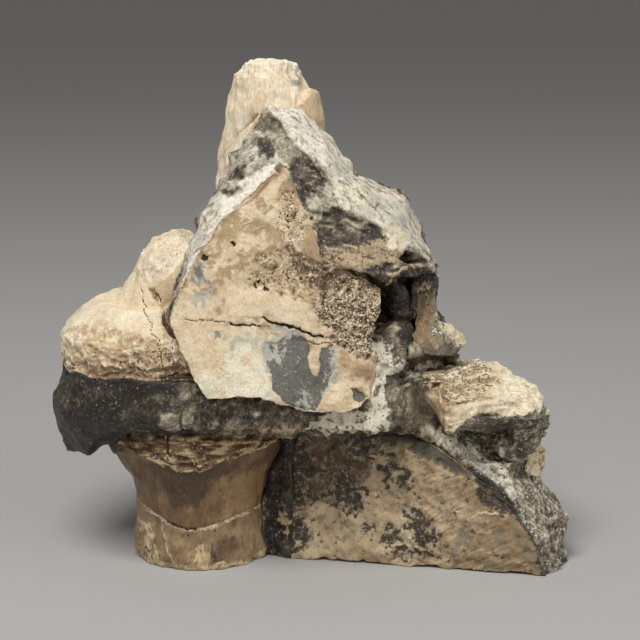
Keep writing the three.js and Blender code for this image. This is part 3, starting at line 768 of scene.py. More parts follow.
upper, places, normals, gap, hidden = rough_out(
    "upper_vertebra", "upper_vertebra_fossil", voxel_mm=0.36, neighbours=["matrix", "face_bone"])
x, _, z = places.T
facing = ramp(-normals[:, 1], -0.4, 0.0)
ragged = front_of(places, 1.0, 3)
fine = front_of(places, 0.35, 1.5)
rim = ramp(np.interp(ragged[:, 0], *RIM_TOP) - z, -1.2, 1.2)
seam = patch(ragged, SEAM, 0.8) * facing
rim = np.maximum(rim, 0.8 * seam)
strip = ramp(62.5 + 0.04 * (x + 60) - z + 1.2 * noise(places, 3, 60), -0.6, 0.6)
lump = patch(ragged, LUMP, 1.0)
bevel = patch(fine, BEVEL, 0.5) * facing
notch = patch(fine, NOTCH, 0.5) * facing
cracks = strokes(fine, UPPER_CRACKS, 0.1, -0.16, 0.08) * facing
grit = rough_noise(places * [0.8, 0.8, 1.1], 2.4, 4, 13)
wiggles = rough_noise(places, 1.7, 2, 15)

height = rim * (0.35 * fractured(places, 3.4, 12) + 0.6 * grit + 0.35 * fractured(places, 1.5, 62))
height += lump * (0.5 * fractured(places, 5, 14) + 0.35 * wiggles)
height += (1 - rim) * (1 - lump) * 0.2 * rough_noise(places, 6, 3, 16)
height -= 0.5 * strip - 0.4 * bevel + 0.4 * cracks + 0.8 * notch
beside = ramp(2 - gap, 0, 1) * facing * ramp(79 - z, 0, 3) * ramp(x, -43, -41)
height -= 0.5 * beside
height = np.where(hidden, 0.25, height - 0.2)
push_out(upper, places, normals, height)

places, normals = points_of(upper)
x, _, z = places.T
browner = ramp(x + 0.8 * (66 - z), -66, -46)
spongy = np.maximum(rim * (0.35 + 0.65 * browner), notch)
holes = pores(places, 1.0, 0.9 * spongy - 0.9, 17) * ramp(spongy, 0.1, 0.5)
push_out(upper, places, normals, -0.45 * np.where(hidden, 0, holes))
stands = standing_out(upper)
keep_masks(upper, {
    "rim": rim * (0.55 + 0.3 * browner - 2.0 * stands + 0.6 * rough_noise(places, 3, 4, 61)),
    "strip": (strip + 0.45 * browner * rim) * (0.75 - 1.5 * stands - 0.7 * grit) + 0.9 * notch,
    "bevel": 0.9 * bevel,
    "spongy": spongy,
    "lump": lump,
    "wiggles": 0.45 * lump * ramp(-wiggles, 0.0, 0.6)
        + 0.45 * ramp(0.3 - to_line(fine, FAINT_CRACK), -0.3, 0.3) * facing,
    "pore": holes,
    # dark cracks, and painted shade in the seam beside the face bone
    "crack": np.maximum(cracks, ramp(beside, 0.4, 0.8)),
    "chalky": rubbed(stands, gap) + 0.2 * rim * ramp(-65 - ragged[:, 0], -3, 3) * (1 + grit)
        + 0.25 * lump,
})

# dry weathered bone: matt cream, browner where it is broken, dark only in its pores
finish_piece(
    upper, "upper_vertebra",
    mineral("weathered_cream_bone", ["#e2cda8", "#f0debd", "#f8ecd2"],
            [("rim", ("#b3926a", "#e2c89e"), 0.85, 3), ("strip", ("#84694f", "#bc9f7d"), 0.8, 3),
             ("bevel", ("#cfb48c", "#e0c9a3"), 0.7, 0.6),
             ("wiggles", ("#ae8d66", "#c8ab82"), 0.85, 2.5),
             ("chalky", ("#ecdfc4", "#f8f0dd"), 0.85, 2), ("pore", ("#513d2a", "#77604a"), 0.9, 0.9),
             ("crack", ("#3f3023", "#5d4836"), 0.9, 0.5)],
            [("spongy", 0.7, 0.4, ("#4f3c2a", "#755e45"), 0.25),
             ("spongy", 0.6, 0.3, ("#e6d3ad", "#f3e5c8"), -0.1),
             ("lump", 0.6, 0.2, ("#7d6345", "#a58a64"), 0.15),
             ("", 0.6, -0.2, ("#a58a66", "#b89d78"), 0.05)],
            cloud_mm=7, grain_mm=0.7, roughness=0.8, relief_mm=0.2),
    hidden)

# -- Crown bone --------------------------------------------------------------------
# The cream bone that stands up behind the cap of matrix: fibrous, split along upright
# grain, broken rough across the top, with a smooth tan knob low on its right side.

KNOB = [(-3, 134), (0, 138), (3, 138.5), (8, 135), (7, 124), (-1, 125)]
STAIN = [(-6.5, 145), (-3.5, 144), (-1, 142), (-1.5, 139), (-5, 139.5)]
GAP = [(-21.5, 125), (-17, 129), (-14, 131.8), (-16, 131), (-19, 127.5), (-22.5, 124)]
EDGE_OF_CAP = [(-33, 108), (-27, 117), (-22, 124), (-15, 131)]

crown, places, normals, gap, hidden = rough_out(
    "crown_bone", "crown_bone_fossil", voxel_mm=0.32, neighbours=["matrix"])
x, _, z = places.T
ragged = front_of(places, 0.5)
fine = front_of(places, 0.3, 1.5)
fibres = places * [1, 1, 0.2]
facing = ramp(-normals[:, 1], -0.3, 0.1)
top = ramp(z + 1.5 * noise(places, 4, 62), 139, 146)
knob = patch(fine, KNOB, 0.5)
above_knob = ramp(x, -4, 0) * ramp(z, 136.5, 138.5)
crevice = patch(fine, GAP, 0.5) * facing
threads = rough_noise(fibres, 1.2, 3, 28)
height = 0.35 * rough_noise(places, 8, 2, 21) + 0.45 * fractured(fibres, 3, 22) * (1 - knob)
height += 0.25 * threads * (1 - knob) + 1.2 * knob - 1.6 * above_knob - 0.9 * crevice
height += top * (0.9 * fractured(places, 5, 23) + 0.6 * rough_noise(places, 2, 3, 24))
height = np.where(hidden, CLEARANCE_MM, height - 0.3)
push_out(crown, places, normals, height)

places, normals = points_of(crown)
x, _, z = places.T
left = ramp(-25 - 0.35 * (z - 110) - x, -6, 3)
holes = pores(places * [1, 1, 0.5], 0.9, -0.9 + 0.5 * left, 25) * (1 - knob)
push_out(crown, places, normals, -0.35 * np.where(hidden, 0, holes))
stands = standing_out(crown)
keep_masks(crown, {
    "ochre": -0.05 * left + 0.5 * rough_noise(fibres, 1.8, 3, 27) - 1.5 * stands,
    "thread": (0.3 + 0.2 * left) * ramp(-threads, 0.15, 0.6) * (1 - knob),
    "knob": 0.9 * knob,
    "grey": 0.8 * patch(ragged, STAIN, 1.0) * (0.8 + rough_noise(places, 1.5, 2, 29)),
    # painted shade in the crevice and along the edge where the crown meets the cap
    "umber_and_shade": 0.75 * np.maximum(crevice, facing * ramp(0.1 - to_line(fine, EDGE_OF_CAP), -0.3, 0.3)),
    "pore": 0.8 * holes,
    # rubbed pale crests and a paler broken top; the paler left side is painted light
    "chalky": rubbed(stands, gap) + 0.4 * top + 0.45 * left,
})

# dry weathered bone with its grain upright: matt cream, ochre down its left side
finish_piece(
    crown, "crown_bone",
    mineral("fibrous_cream_bone", ["#dec8a4", "#eedcbc", "#f9edd5"],
            [("ochre", ("#c5a981", "#dcc39b"), 0.85, 2), ("thread", ("#b2946c", "#c9ad84"), 0.85, 2),
             ("knob", ("#d0b48a", "#dfc79f"), 0.7, 0.6), ("chalky", ("#eee1c5", "#f9f1de"), 0.85, 0.8),
             ("grey", ("#8f8c85", "#b5ad9d"), 0.8, 2.5), ("umber_and_shade", ("#806a4d", "#a58d6a"), 0.85, 2),
             ("pore", ("#8a6f4f", "#a78b66"), 0.9, 0.8)],
            [("", 0.8, -0.1, ("#98805e", "#b49a74"), 0.15)],
            cloud_mm=5, grain_mm=0.7, roughness=0.8, relief_mm=0.2, stretch=(1, 1, 0.35)),
    hidden)

# -- Face bone ---------------------------------------------------------------------
# The broad plate of bone that faces forward, cut by the break through the block. Its
# outer skin is smooth and tan to cream; right of centre it is worn to open spongy bone,
# and below a long crack the skin has flaked off a window of dark grey stone.

OPEN = [(-14.5, 93.5), (-10, 96), (-3, 95.5), (4, 92), (13, 88), (17.5, 86), (22, 83), (22.5, 76),
        (19, 71), (18, 66), (16.5, 64.5), (13, 66), (9.5, 69), (4.5, 75), (1, 78), (1, 81), (-8, 83.5),
        (-16, 86), (-17, 88)]
COARSE = [(3, 82), (10, 84.5), (18, 83.5), (22, 79), (19, 71.5), (18, 67), (13, 66), (9.5, 69),
          (4.5, 75), (2, 78)]
PORED = [(-8, 113), (-4.5, 111), (-3, 107), (-1, 104.5), (-1, 98), (-5.5, 96), (-8, 98), (-10, 103),
         (-10.5, 108)]
SHADE = [(-7, 96.5), (-1, 95), (4, 92.5), (8.5, 91), (13, 89), (18, 87), (24, 84), (20, 82), (14, 83.5),
         (8, 83), (2, 85), (-2.5, 88), (-5, 92)]
SUNK = [(9, 93), (13, 98), (30, 104), (30, 78), (22, 81), (14, 84.5), (10, 87)]
SUNK_MM = 1.8
WINDOW = [(-12.5, 71), (-10, 70.3), (-7, 72), (-6, 74), (-3, 73.6), (-1, 71.7), (0, 69.5), (0, 64.5),
          (1.5, 62), (2.2, 61.2), (3, 63), (3, 67), (4, 69), (7, 69.5), (7.5, 66), (6.5, 62), (5, 58),
          (3, 54), (0, 50), (-5, 50), (-7.5, 55.5), (-9.8, 58.5), (-10.5, 62), (-12, 65.5)]
ARCH = [(-21.5, 69), (-21, 71.5), (-19.5, 72.7), (-16.5, 72.7), (-13.7, 71.2), (-12.7, 68.5),
        (-12.3, 65.5), (-10.7, 61)]
PALE = [(-21.5, 71), (-16.5, 72), (-13.5, 70), (-12.5, 65.5), (-10.5, 59.5), (-8.5, 57), (-10, 54),
        (-23.5, 52), (-33, 53), (-33, 59), (-30, 62), (-25.5, 65.5), (-22.5, 67)]
CRUMBLY = [(9.5, 69), (17, 65.5), (17, 57), (14, 51), (6, 51), (5, 56), (7.5, 63.5)]
CRACKS = [  # line, half width in mm, how far the skin above it stands proud in mm
    ([(-35, 77.3), (-30, 77), (-26.5, 76.6), (-22, 76)], -0.03, 0.15),
    ([(-22, 75.6), (-19, 75), (-16, 75.5), (-13.5, 75)], 0.1, 0.45),
    ([(-13, 77), (-10.5, 75.6), (-6, 75), (-3, 74), (1, 72.4), (4, 72)], 0.15, 0.7),
    ([(-1, 71.4), (2, 70.2), (7, 70.4)], 0, 0.3),
]
OCHRE = [(-20, 107.5), (-17, 111), (-13, 114), (-9, 117.5), (-7, 117), (-11, 113), (-14, 110)]
BEAN = [(-23, 80), (-21, 84), (-17, 85.5), (-9, 83.5), (-3, 82.5), (2, 81), (2, 73), (-5, 75),
        (-13, 77.5), (-23, 76.5)]
GROWTH = [[(-17, 108), (-12, 107.5)], [(-22, 106), (-19.5, 106.5), (-17.5, 105.5)],
          [(-18.5, 99), (-15, 101.5), (-12, 102)], [(-18, 97.5), (-13.5, 98.5), (-11, 100)],
          [(-15, 104), (-13.5, 105.5), (-11.5, 107)], [(-19.5, 102), (-16.5, 103.5)],
          [(-26, 92), (-21, 95), (-17, 94.5)], [(-16.5, 78.5), (-14.5, 80.5), (-13, 77.5)],
          [(-20, 88), (-15, 90), (-11, 93)], [(-10, 112), (-12, 109), (-10.5, 104)]]
PITS = [(-21.5, 97, 0.7), (-29, 93.5, 0.8), (-22, 106, 0.5), (-15, 85.5, 0.6), (-12, 84.7, 0.7)]
BLUE = [[(-33, 92), (-30, 92.5), (-28, 90.5), (-28.5, 87), (-31, 86), (-33.5, 89.5)],
        [(-28, 84.5), (-29.5, 82), (-31.5, 79.5), (-32, 81), (-30, 84.5)],
        [(-27, 74), (-25.5, 75), (-24, 73), (-26, 71.5)]]
FROSTED = [[(-26, 86), (-28, 82.5), (-31, 79), (-33, 81), (-30.5, 85.5)],
           [(-13.5, 74.9), (-10, 74.8), (-5, 74), (-0.5, 72.5), (-5, 71.5), (-8, 72.5), (-12, 73.5)],
           [(-22, 71), (-17, 72.5), (-13, 71.5), (-8, 73), (-7, 70), (-12, 66), (-13, 69), (-17, 70.5)],
           [(5.5, 69), (8.5, 69.5), (8.5, 63), (6, 58), (3.5, 54), (3, 55.5), (5.5, 62)],
           [(-12.5, 71), (-7, 73), (-6, 69), (-8, 65), (-11.5, 66)],
           [(-5, 56), (0, 58), (2, 54), (0, 50), (-4, 50)]]
FACE_TO_CAP_MM = [0.7, 0, 0.4]  # how far the bone moves over the crevice to meet the stone
SMALL_CUT = [(11.8, 57.8), (14, 57.4), (18, 54.5), (15, 52.6), (12.8, 54.7)]

face, places, normals, gap, hidden = rough_out(
    "face_bone", "face_bone_fossil", voxel_mm=0.29, neighbours=["matrix", "upper_vertebra"])
facing = ramp(-normals[:, 1], 0.0, 0.4)
ragged = front_of(places, 0.9, 3)
sharp = front_of(places, 0.4, 1.5)
torn = front_of(places, 1.4, 3, 95)
open_bone = patch(torn, OPEN, 1.2)
coarse = patch(torn, COARSE, 1.5)
pored = patch(torn, PORED, 1.2) * facing
bean = patch(ragged, BEAN, 2.0)
shade = patch(front_of(places, 1.6, 4, 96), SHADE, 2.2)
grit = rough_noise(places, 1.8, 3, 32)
height = 0.3 * rough_noise(places, 10, 3, 31)
height += (0.18 * rough_noise(places, 3, 3, 30) + 0.07 * rough_noise(places, 0.9, 2, 28)) * (1 - bean)
height += (open_bone + 0.5 * pored) * (0.6 * grit + 0.5 * fractured(places, 2.4, 33)
                                       + 0.2 * fractured(places, 1.2, 39) - 0.5)
crack = np.zeros(len(places))
for line, half_width, rise in CRACKS:
    away = to_line(sharp, line)
    crack = np.maximum(crack, ramp(half_width + 0.12 - away, -0.12, 0.12))
    above = sharp[:, 1] > np.interp(sharp[:, 0], *np.array(line).T)
    height += rise * np.exp(-away / 4) * ramp(np.where(above, away, -away), -0.15, 0.15) * facing
crack *= facing
window = patch(front_of(places, 0.6, 2, 97), WINDOW, 0.35) * facing
lines = strokes(ragged, GROWTH, 0.15, -0.3, 0.2) * facing
blots = front_of(places, 0.8, 1.3)
pits = np.max([ramp(r - np.hypot(*(blots - [a, b]).T), -0.2, 0.3) for a, b, r in PITS], axis=0) * facing
small_cut = patch(sharp, SMALL_CUT, 0.3) * facing
crumbly = patch(torn, CRUMBLY, 1.0) * facing
closing = ramp(2.5 - to_line(places[:, [0, 2]], CREVICE), 0, 2)
height += -0.4 * window + 0.1 * lines - 0.9 * pits + 0.8 * bean * facing
height += crumbly * (0.4 * fractured(places, 3, 34) + 0.2 * rough_noise(places, 1.2, 2, 35))
height -= 0.6 * crack + 0.9 * small_cut
height += (1 - ramp(np.abs(normals[:, 1]), 0.4, 0.8)) * (0.5 * rough_noise(places, 2, 3, 29) - 0.1)
height = np.where(hidden, 0.25, height - 0.35)
places += normals * height[:, None]
places[:, 1] += np.where(hidden, 0, SUNK_MM * patch(ragged, SUNK, 2.2))
places += closing[:, None] * FACE_TO_CAP_MM
move_points(face, places)

places, normals = points_of(face)
x = places[:, 0]
clustered = 0.5 * rough_noise(places, 6, 2, 43)
holes = (pores(places, 1.0, 1.4 * open_bone + 0.4 * coarse - 1.2 + clustered, 34)
         * ramp(open_bone, 0.2, 0.8))
openness = 1.1 * pored - 0.3 - 0.45 * np.abs(x + 6) + clustered
holes = np.maximum(holes, pores(places * [1, 1, 0.7], 0.9, openness, 36) * pored)
push_out(face, places, normals, -0.6 * np.where(hidden, 0, holes))
stands = standing_out(face)
hollowed = standing_out(face, 12)
upper_left = ramp(ragged[:, 1] + 0.5 * ragged[:, 0], 62, 72) * (1 - bean)
smudged = rough_noise(places, 5, 4, 37)
fine = rough_noise(places, 1.6, 3, 38)
washed = 0.65 + 0.9 * rough_noise(places * [1, 1, 0.5], 1.5, 3, 40)
keep_masks(face, {
    "cream": (0.75 + 0.5 * smudged) * patch(torn, PALE, 1.0) * facing + 0.3 * smudged + 0.2 * fine,
    "brown": facing * upper_left * (0.6 + 0.7 * smudged + 0.3 * fine)
        + (0.6 * (smudged - 0.25) + 0.35 * fine) * (1 - crumbly),
    "open": open_bone * (0.7 - 0.9 * grit) + 0.5 * pored * (0.5 - 1.5 * grit),
    # painted shade under the ledge, over the coarse open bone and in its hollows
    "shade": np.maximum(shade, 0.65 * coarse) * (0.85 - 0.6 * grit)
        + 3.0 * np.clip(-hollowed, 0, 0.25) * open_bone,
    "ochre": 0.7 * patch(ragged, OCHRE, 1.0) * facing,
    "blue": facing * 1.1 * washed * patches(torn, BLUE, 1.2),
    "frosted": facing * 1.05 * washed * np.maximum(
        patches(torn, FROSTED, 1.2), ramp(0.6 - to_line(sharp, ARCH), -0.5, 0.5)),
    "window": np.maximum(window, small_cut) * (0.95 + 0.2 * rough_noise(places, 2, 3, 41))
        + 0.8 * facing * patch(blots, [(-32.5, 91.5), (-30, 91.5), (-29.5, 88.5), (-31.5, 88)], 0.8),
    "lines": 0.7 * lines + 0.5 * crumbly * ramp(np.abs(fine), 0.08, 0.0),
    "pitted": np.max([open_bone * (0.85 + 0.2 * coarse), 0.95 * pored, 0.6 * crumbly], axis=0),
    "pore": np.maximum(0.9 * holes, pits),
    "crack": crack,
    "worn": 3 * np.clip(stands, 0, 0.3) * (1 - 0.8 * window) * (1 - shade) * ramp(gap, 0.7, 1.5),
})

# smooth bone skin with the sheen of unglazed pottery; the open bone inside is dull
finish_piece(
    face, "face_bone",
    mineral("smooth_tan_bone", ["#d1b893", "#e3cda9", "#eddcbd"],
            [("cream", ("#e1d7b8", "#f0e7cf"), 0.7, 2.5), ("brown", ("#a58b69", "#c0a57f"), 0.7, 2),
             ("ochre", ("#a98453", "#b89566"), 0.7, 2), ("open", ("#a38763", "#dfc8a3"), 0.85, 2.5),
             ("shade", ("#5a4733", "#8f7658"), 0.85, 2.5), ("blue", ("#6b7175", "#9fa097"), 0.7, 3),
             ("window", ("#53524c", "#7b786e"), 0.6, 2),
             ("frosted", ("#a8a79b", "#c8c3b0"), 0.7, 3), ("lines", ("#dccaa7", "#ecdcbe"), 0.7, 0.6),
             ("worn", ("#dcc9a4", "#ecdec0"), 0.8, 1.5), ("pore", ("#3a2b1f", "#5f4a36"), 0.9, 0.9),
             ("crack", ("#2b2018", "#3e3024"), 0.9, 0.3)],
            [("pitted", 0.65, 0.36, ("#33261b", "#5a4632"), 0.25),
             ("pitted", 0.6, 0.5, ("#e3d1ac", "#f4e8cc"), -0.1),
             ("window", 0.5, 0.25, ("#9a968a", "#d5d1c6"), -0.05),
             ("window", 1.4, -0.05, ("#8f8d84", "#b5b2a6"), -0.05),
             ("", 0.7, -0.25, ("#7d6547", "#8f7553"), 0.05)],
            cloud_mm=6, grain_mm=0.6, roughness=0.62, relief_mm=0.3),
    hidden)

# -- Slab bone ---------------------------------------------------------------------
# The long flat bone across the right of the foot, sliced by the break: tan and fibrous,
# blotched black where the dark stone has soaked in, blackest against the lower vertebra,
# and darkened with painted shade along its seams with the matrix.

BLOTCHES = [
    [(16.5, 43), (19.5, 41), (20, 37), (18, 34), (16.5, 31.5), (13, 30.5), (11, 32.5), (9.5, 35),
     (11.5, 38), (14, 40)],
    [(-7, 42), (2, 41), (0, 36.5), (0, 32), (1.5, 29.5), (5, 27.5), (5.5, 26), (1.5, 25), (-1.5, 25),
     (-2.5, 21), (-7, 18)],
    [(7, 27), (10, 29), (12, 26.5), (12.5, 24.5), (16.5, 23), (16.5, 20), (16, 16), (14, 15.5),
     (11.5, 15), (9.5, 16), (8.5, 18), (5.5, 19), (1.5, 18), (-2, 17.5), (-5, 18.5), (-4, 20.5),
     (-1, 23), (2, 20.5), (6, 23.5)],
    [(-6, 12.5), (-2, 12), (0, 8.5), (-1, 4.5), (-5, 4.5)],
    [(18, 30.5), (17.5, 29), (20.5, 28), (20.5, 25), (22.5, 24), (24, 27.5), (26, 29.5), (26, 32.5),
     (25, 34.5), (22, 35), (20.5, 34), (23.5, 33), (23, 30.5), (20, 31)],
    [(26.5, 30), (29, 29), (29.5, 26), (29.5, 23.5), (27.5, 22), (25.5, 24.5), (26.5, 27)],
    [(26.5, 19), (30, 18), (32, 17.5), (32, 16), (34.5, 16), (35.5, 14), (37.5, 10.5), (37.5, 7),
     (35.5, 7), (34, 5), (31, 6.5), (30, 10.5), (28, 12.5), (29.5, 15)],
    [(21.5, 13.5), (24, 13.5), (26, 11), (26, 8.5), (24, 7), (23.5, 6), (21.5, 7), (21, 9), (21.5, 11)],
    [(16.5, 13), (19.5, 12.5), (19, 10.5), (17.5, 11)],
    [(23.5, 6), (31.5, 6), (36, 4.5), (33, 2.5), (24.5, 3)],
    [(-7, 43), (-2, 43), (-2.5, 20), (-3.5, 12), (-3, 2), (-7, 0)],
]
# middle and radius of fainter smudges
SMUDGES = [(31.5, 26.5, 1.8), (38, 21, 2.2), (39.5, 17.5, 2.4), (24, 21.5, 2), (20.5, 23.5, 1.8),
           (11, 11, 3.2), (10, 7, 2), (-1, 13.5, 2), (3, 12.3, 1.6), (2, 16, 1.2), (45.5, 10, 4),
           (56, 10.5, 4), (65, 6, 4.5), (53, 2, 3.5), (61, 12, 3), (42, 5, 2.4), (49, 16.5, 2)]
OLIVE = [(19.5, 42), (24, 43), (33, 43.5), (36.5, 38.5), (41, 35), (47, 29.5), (42, 29.5), (38.5, 32),
         (34.5, 33), (30.5, 35), (30, 37.5), (25, 37), (20.5, 36)]
RUSSET = [(-7, 45), (19, 45), (21, 36), (19.5, 30), (16, 25), (13, 20), (8, 17), (2, 18), (-3, 15),
          (-8, 14)]
INKY_NOTCH = [(47.5, 27.5), (50, 29.5), (58, 24), (63, 18), (56, 18.3), (49.5, 20.5)]
UPPER_EDGE = [(10, 45), (20, 45), (33, 43.5), (41, 37), (50, 30), (58, 22), (66, 10), (70, -1)]
SPLINTERS = [[(48.5, 17.3), (51, 18.2), (54.5, 18.2)], [(28, 35.5), (30, 34.5)],
             [(18, 32.7), (19.5, 32.5)], [(22.6, 32.6), (23.2, 31.6)], [(41, 17.6), (44, 17.9)],
             [(24, 6.3), (28, 12), (31, 6.3), (24, 6.3)]]

slab, places, normals, gap, hidden = rough_out(
    "slab_bone", "slab_bone_fossil", voxel_mm=0.33, neighbours=["matrix"])
x, y, z = places.T
facing = ramp(-normals[:, 1], 0.0, 0.4)
ragged = front_of(places, 0.8, 2)
grain_way = np.c_[0.91 * x + 0.42 * z, y, 0.91 * z - 0.42 * x] * [0.1, 1, 1]
fibrous = ramp(x + 0.5 * z, 32, 42)
fibres = rough_noise(grain_way, 0.7, 3, 42)
mottle = rough_noise(places, 1.7, 4, 44)
inky = patches(ragged, BLOTCHES, 2.8)
black = ramp(0.9 * inky + 0.8 * mottle, 0.05, 1.0)
black = np.maximum(black, 0.9 * patch(ragged, INKY_NOTCH, 0.8))
faint = np.min([np.hypot(*(ragged - [a, b]).T) / r for a, b, r in SMUDGES], axis=0)
halo = ramp(np.maximum(1.1 * inky, 1.1 - 0.7 * faint) + 0.8 * rough_noise(places, 2.2, 4, 45),
            0.35, 0.9)
height = 0.5 * rough_noise(places, 9, 3, 41) + (0.05 + 0.05 * fibrous) * fibres
height += 0.3 * fractured(places, 6, 43) + 0.2 * fractured(places, 2, 47) - 0.3 * black
splinters = strokes(ragged, SPLINTERS, 0.25, -0.3, 0.25)
height -= 0.5 * ramp(2 - gap, 0, 1.2) * facing * ramp(x, -2, 2)
height = np.where(hidden, CLEARANCE_MM, height - 0.3 + 0.25 * splinters)
places[:, 0] -= 0.9 * ramp(-x, 1, 6)
push_out(slab, places, normals, height)

stands = standing_out(slab) * ramp(gap, 1.8, 3) * ramp(to_line(ragged, UPPER_EDGE), 1.5, 4)
seam_shade = ramp(2.2 - gap, 0, 1.2) * facing
keep_masks(slab, {
    # black stain from the stone, darkened further by painted shade along the seams with the matrix
    "black": black * (0.9 + 0.4 * rough_noise(places, 1.3, 2, 48)) + 0.5 * seam_shade * ramp(x, -2, 2),
    "smudge": 0.62 * halo * (1 - 0.6 * black) + 0.3 * ramp(rough_noise(places, 4, 4, 49), 0, 0.6),
    # olive-grey stain in patches, and towards the top and along the upper edge painted shade under the
    # overhang
    "olive": (0.8 * patch(ragged, OLIVE, 1.6) + 0.35 * mottle + 0.3 * ramp(z + 0.3 * x, 34, 44))
        * (1 - 0.7 * black) * facing
        + 0.9 * ramp(2.6 - to_line(ragged, UPPER_EDGE), 0, 1.6) * (1 - 0.5 * facing),
    "russet": (0.85 + 0.5 * mottle) * patch(front_of(places, 1.5, 3, 98), RUSSET, 2.2)
        * (1 - 0.5 * black),
    "brown": fibrous * (0.38 - 0.55 * fibres) + 0.4 * ramp(x, 33, 58) + 0.3 * mottle,
    "worn": 4 * np.clip(stands, 0, 0.25) * (1 - 0.6 * black) + splinters,
})

# sliced bone, dull and thready; the stone that stained it is as dark as the matrix
finish_piece(
    slab, "slab_bone",
    mineral("mottled_fibrous_bone", ["#a78f6e", "#c5ad89", "#dac4a0"],
            [("brown", ("#8b7353", "#aa916b"), 0.75, 2.5), ("russet", ("#453428", "#7a604a"), 0.75, 3),
             ("olive", ("#45423a", "#6f6957"), 0.7, 3), ("worn", ("#d6c29b", "#e8d8b4"), 0.75, 1.5),
             ("smudge", ("#6b6552", "#9b9178"), 0.75, 3.5),
             ("black", ("#25201b", "#504639"), 0.6, 3.5)],
            [("black", 0.8, 0.22, ("#75664f", "#9b8c70"), -0.05),
             ("smudge", 0.7, 0.35, ("#37312a", "#575040"), 0.1),
             ("", 0.6, -0.1, ("#6a563f", "#86724f"), 0.1)],
            cloud_mm=5, grain_mm=0.6, roughness=0.7, relief_mm=0.2),
    hidden)

# -- Side bone ---------------------------------------------------------------------
# The cream bone that juts out to the right, porous on its face, with a smooth pale lip
# below and stringy grain that runs towards its tip; its lower part is painted with the
# shade of the hollow underneath, speckled like the stone.

SIDE_FORWARD_MM = 6.5
LIP = [(33, 51.5), (39.5, 51), (46, 50), (47, 47), (45, 44), (39, 40), (34, 44)]
POROUS = [(32, 58), (42, 61), (52, 61), (55, 57), (54, 53), (46, 50.5), (39, 51), (32, 53)]
SHADE_BELOW = [(44, 47), (49, 48), (54, 47.2), (62, 47), (72, 46.5), (76, 46), (76, 34), (40, 34),
            (42, 44)]
DARK_STREAKS = [[(52, 51), (56, 51.2), (60, 49.8), (56, 48.8), (52.5, 49.4)],
                [(47, 60), (53, 59), (52, 57), (48, 58)], [(36, 57), (40, 57), (38, 55.5)]]

side, places, normals, gap, hidden = rough_out(
    "side_bone", "side_bone_fossil", voxel_mm=0.29, neighbours=["matrix"])
x, y, z = places.T
facing = ramp(-normals[:, 1], -0.3, 0.2)
ragged = front_of(places, 0.9, 3)
along = places * [0.25, 1, 1]
porous = patch(ragged, POROUS, 2.0)
lip = patch(ragged, LIP, 0.8)
shade_below = patch(front_of(places, 0.8, 2), SHADE_BELOW, 0.6) * facing
threads = rough_noise(along, 1.6, 3, 52)
height = 0.8 * rough_noise(places, 7, 3, 51) + 0.45 * threads
height += (0.9 * fractured(places, 5, 53) * (1 - 0.2 * lip) + 0.3 * fractured(places, 2, 57)
           - 0.3 * porous)
height = np.where(hidden, CLEARANCE_MM, height + 0.3 * lip - 0.3 - 0.9 * shade_below)
clear = np.maximum(ramp(x, 36, 39), ramp(z, 54, 56))
places[:, 1] -= (SIDE_FORWARD_MM * clear * ramp(54 - x, 0, 15) * ramp(z, 38, 45)
                 * ramp(-4 - y, 0, 6))
push_out(side, places, normals, height)

places, normals = points_of(side)
x, _, z = places.T
holes = pores(places * [0.8, 1, 1.2], 0.6, 0.9 * porous - 1.0, 54) * (1 - lip)
push_out(side, places, normals, -0.45 * np.where(hidden, 0, holes))
stands = standing_out(side)
dark = patches(ragged, DARK_STREAKS, 0.8)
keep_masks(side, {
    "brown": 0.4 * porous + 0.2 * lip + 0.8 * dark + 0.6 * rough_noise(along, 2.5, 4, 56)
        - 0.35 * threads - 1.5 * stands + 0.4 * ramp(44 - x, 0, 6) * ramp(56 - z, 0, 2),
    "porous": np.maximum(0.9 * porous, 0.8 * dark),
    "pore": 0.9 * holes,
    # rubbed crests and the paler right end; the paler band along the top is a painted highlight
    "chalky": rubbed(stands, gap) + 0.45 * ramp(x, 50, 60) + 0.5 * ramp(z - 0.3 * threads, 56.5, 58.5),
    # painted shade of the hollow under the bone, speckled like the stone
    "shade_below": shade_below * (1 + 0.3 * rough_noise(places, 2, 3, 58)),
})

# dry bone, matt and cream; where its skin is gone the fine pores show dark
finish_piece(
    side, "side_bone",
    mineral("porous_cream_bone", ["#d3be9a", "#e5d5b2", "#f3e8ce"],
            [("brown", ("#94795a", "#bda27c"), 0.85, 2.5), ("chalky", ("#eadcb9", "#f8efd6"), 0.85, 2),
             ("pore", ("#7a634a", "#a18a69"), 0.9, 0.9), ("shade_below", ("#4b4338", "#8c816e"), 0.75, 3)],
            [("porous", 0.6, 0.54, ("#4f3d2c", "#7d6752"), 0.2),
             ("porous", 0.5, 0.25, ("#f0e2c1", "#f8efd8"), -0.1),
             ("shade_below", 0.7, 0.45, ("#958e7e", "#cfc9b9"), -0.05),
             ("", 0.6, 0.05, ("#7d6649", "#a08765"), 0.15)],
            cloud_mm=4, grain_mm=0.7, roughness=0.8, relief_mm=0.25, stretch=(0.6, 1, 1)),
    hidden)

# -- Nub and toe bones -------------------------------------------------------------
# Two small broken pieces of the same bone on the right: a nub above the side bone, its
# spur in shade and its right slope crusted with grey stone, and a toe below it.

SPUR = [(27, 84), (34.5, 84), (36, 78), (35.5, 74.5), (33, 71.5), (28, 71)]
CRUST = [(34, 87), (42, 87), (40, 76), (39, 73), (41.5, 69), (43, 66.5), (39.5, 64.5), (36.5, 66),
         (35, 69), (36, 73), (37, 77), (34.5, 79), (35.5, 82)]
CREAM_EDGE = [(37.5, 75), (38.5, 72.5), (41, 69.5), (44, 66), (48, 63.5)]
CAVITY = [(40, 65), (44, 65.5), (46, 63.5), (44.5, 61.5), (41.5, 62)]

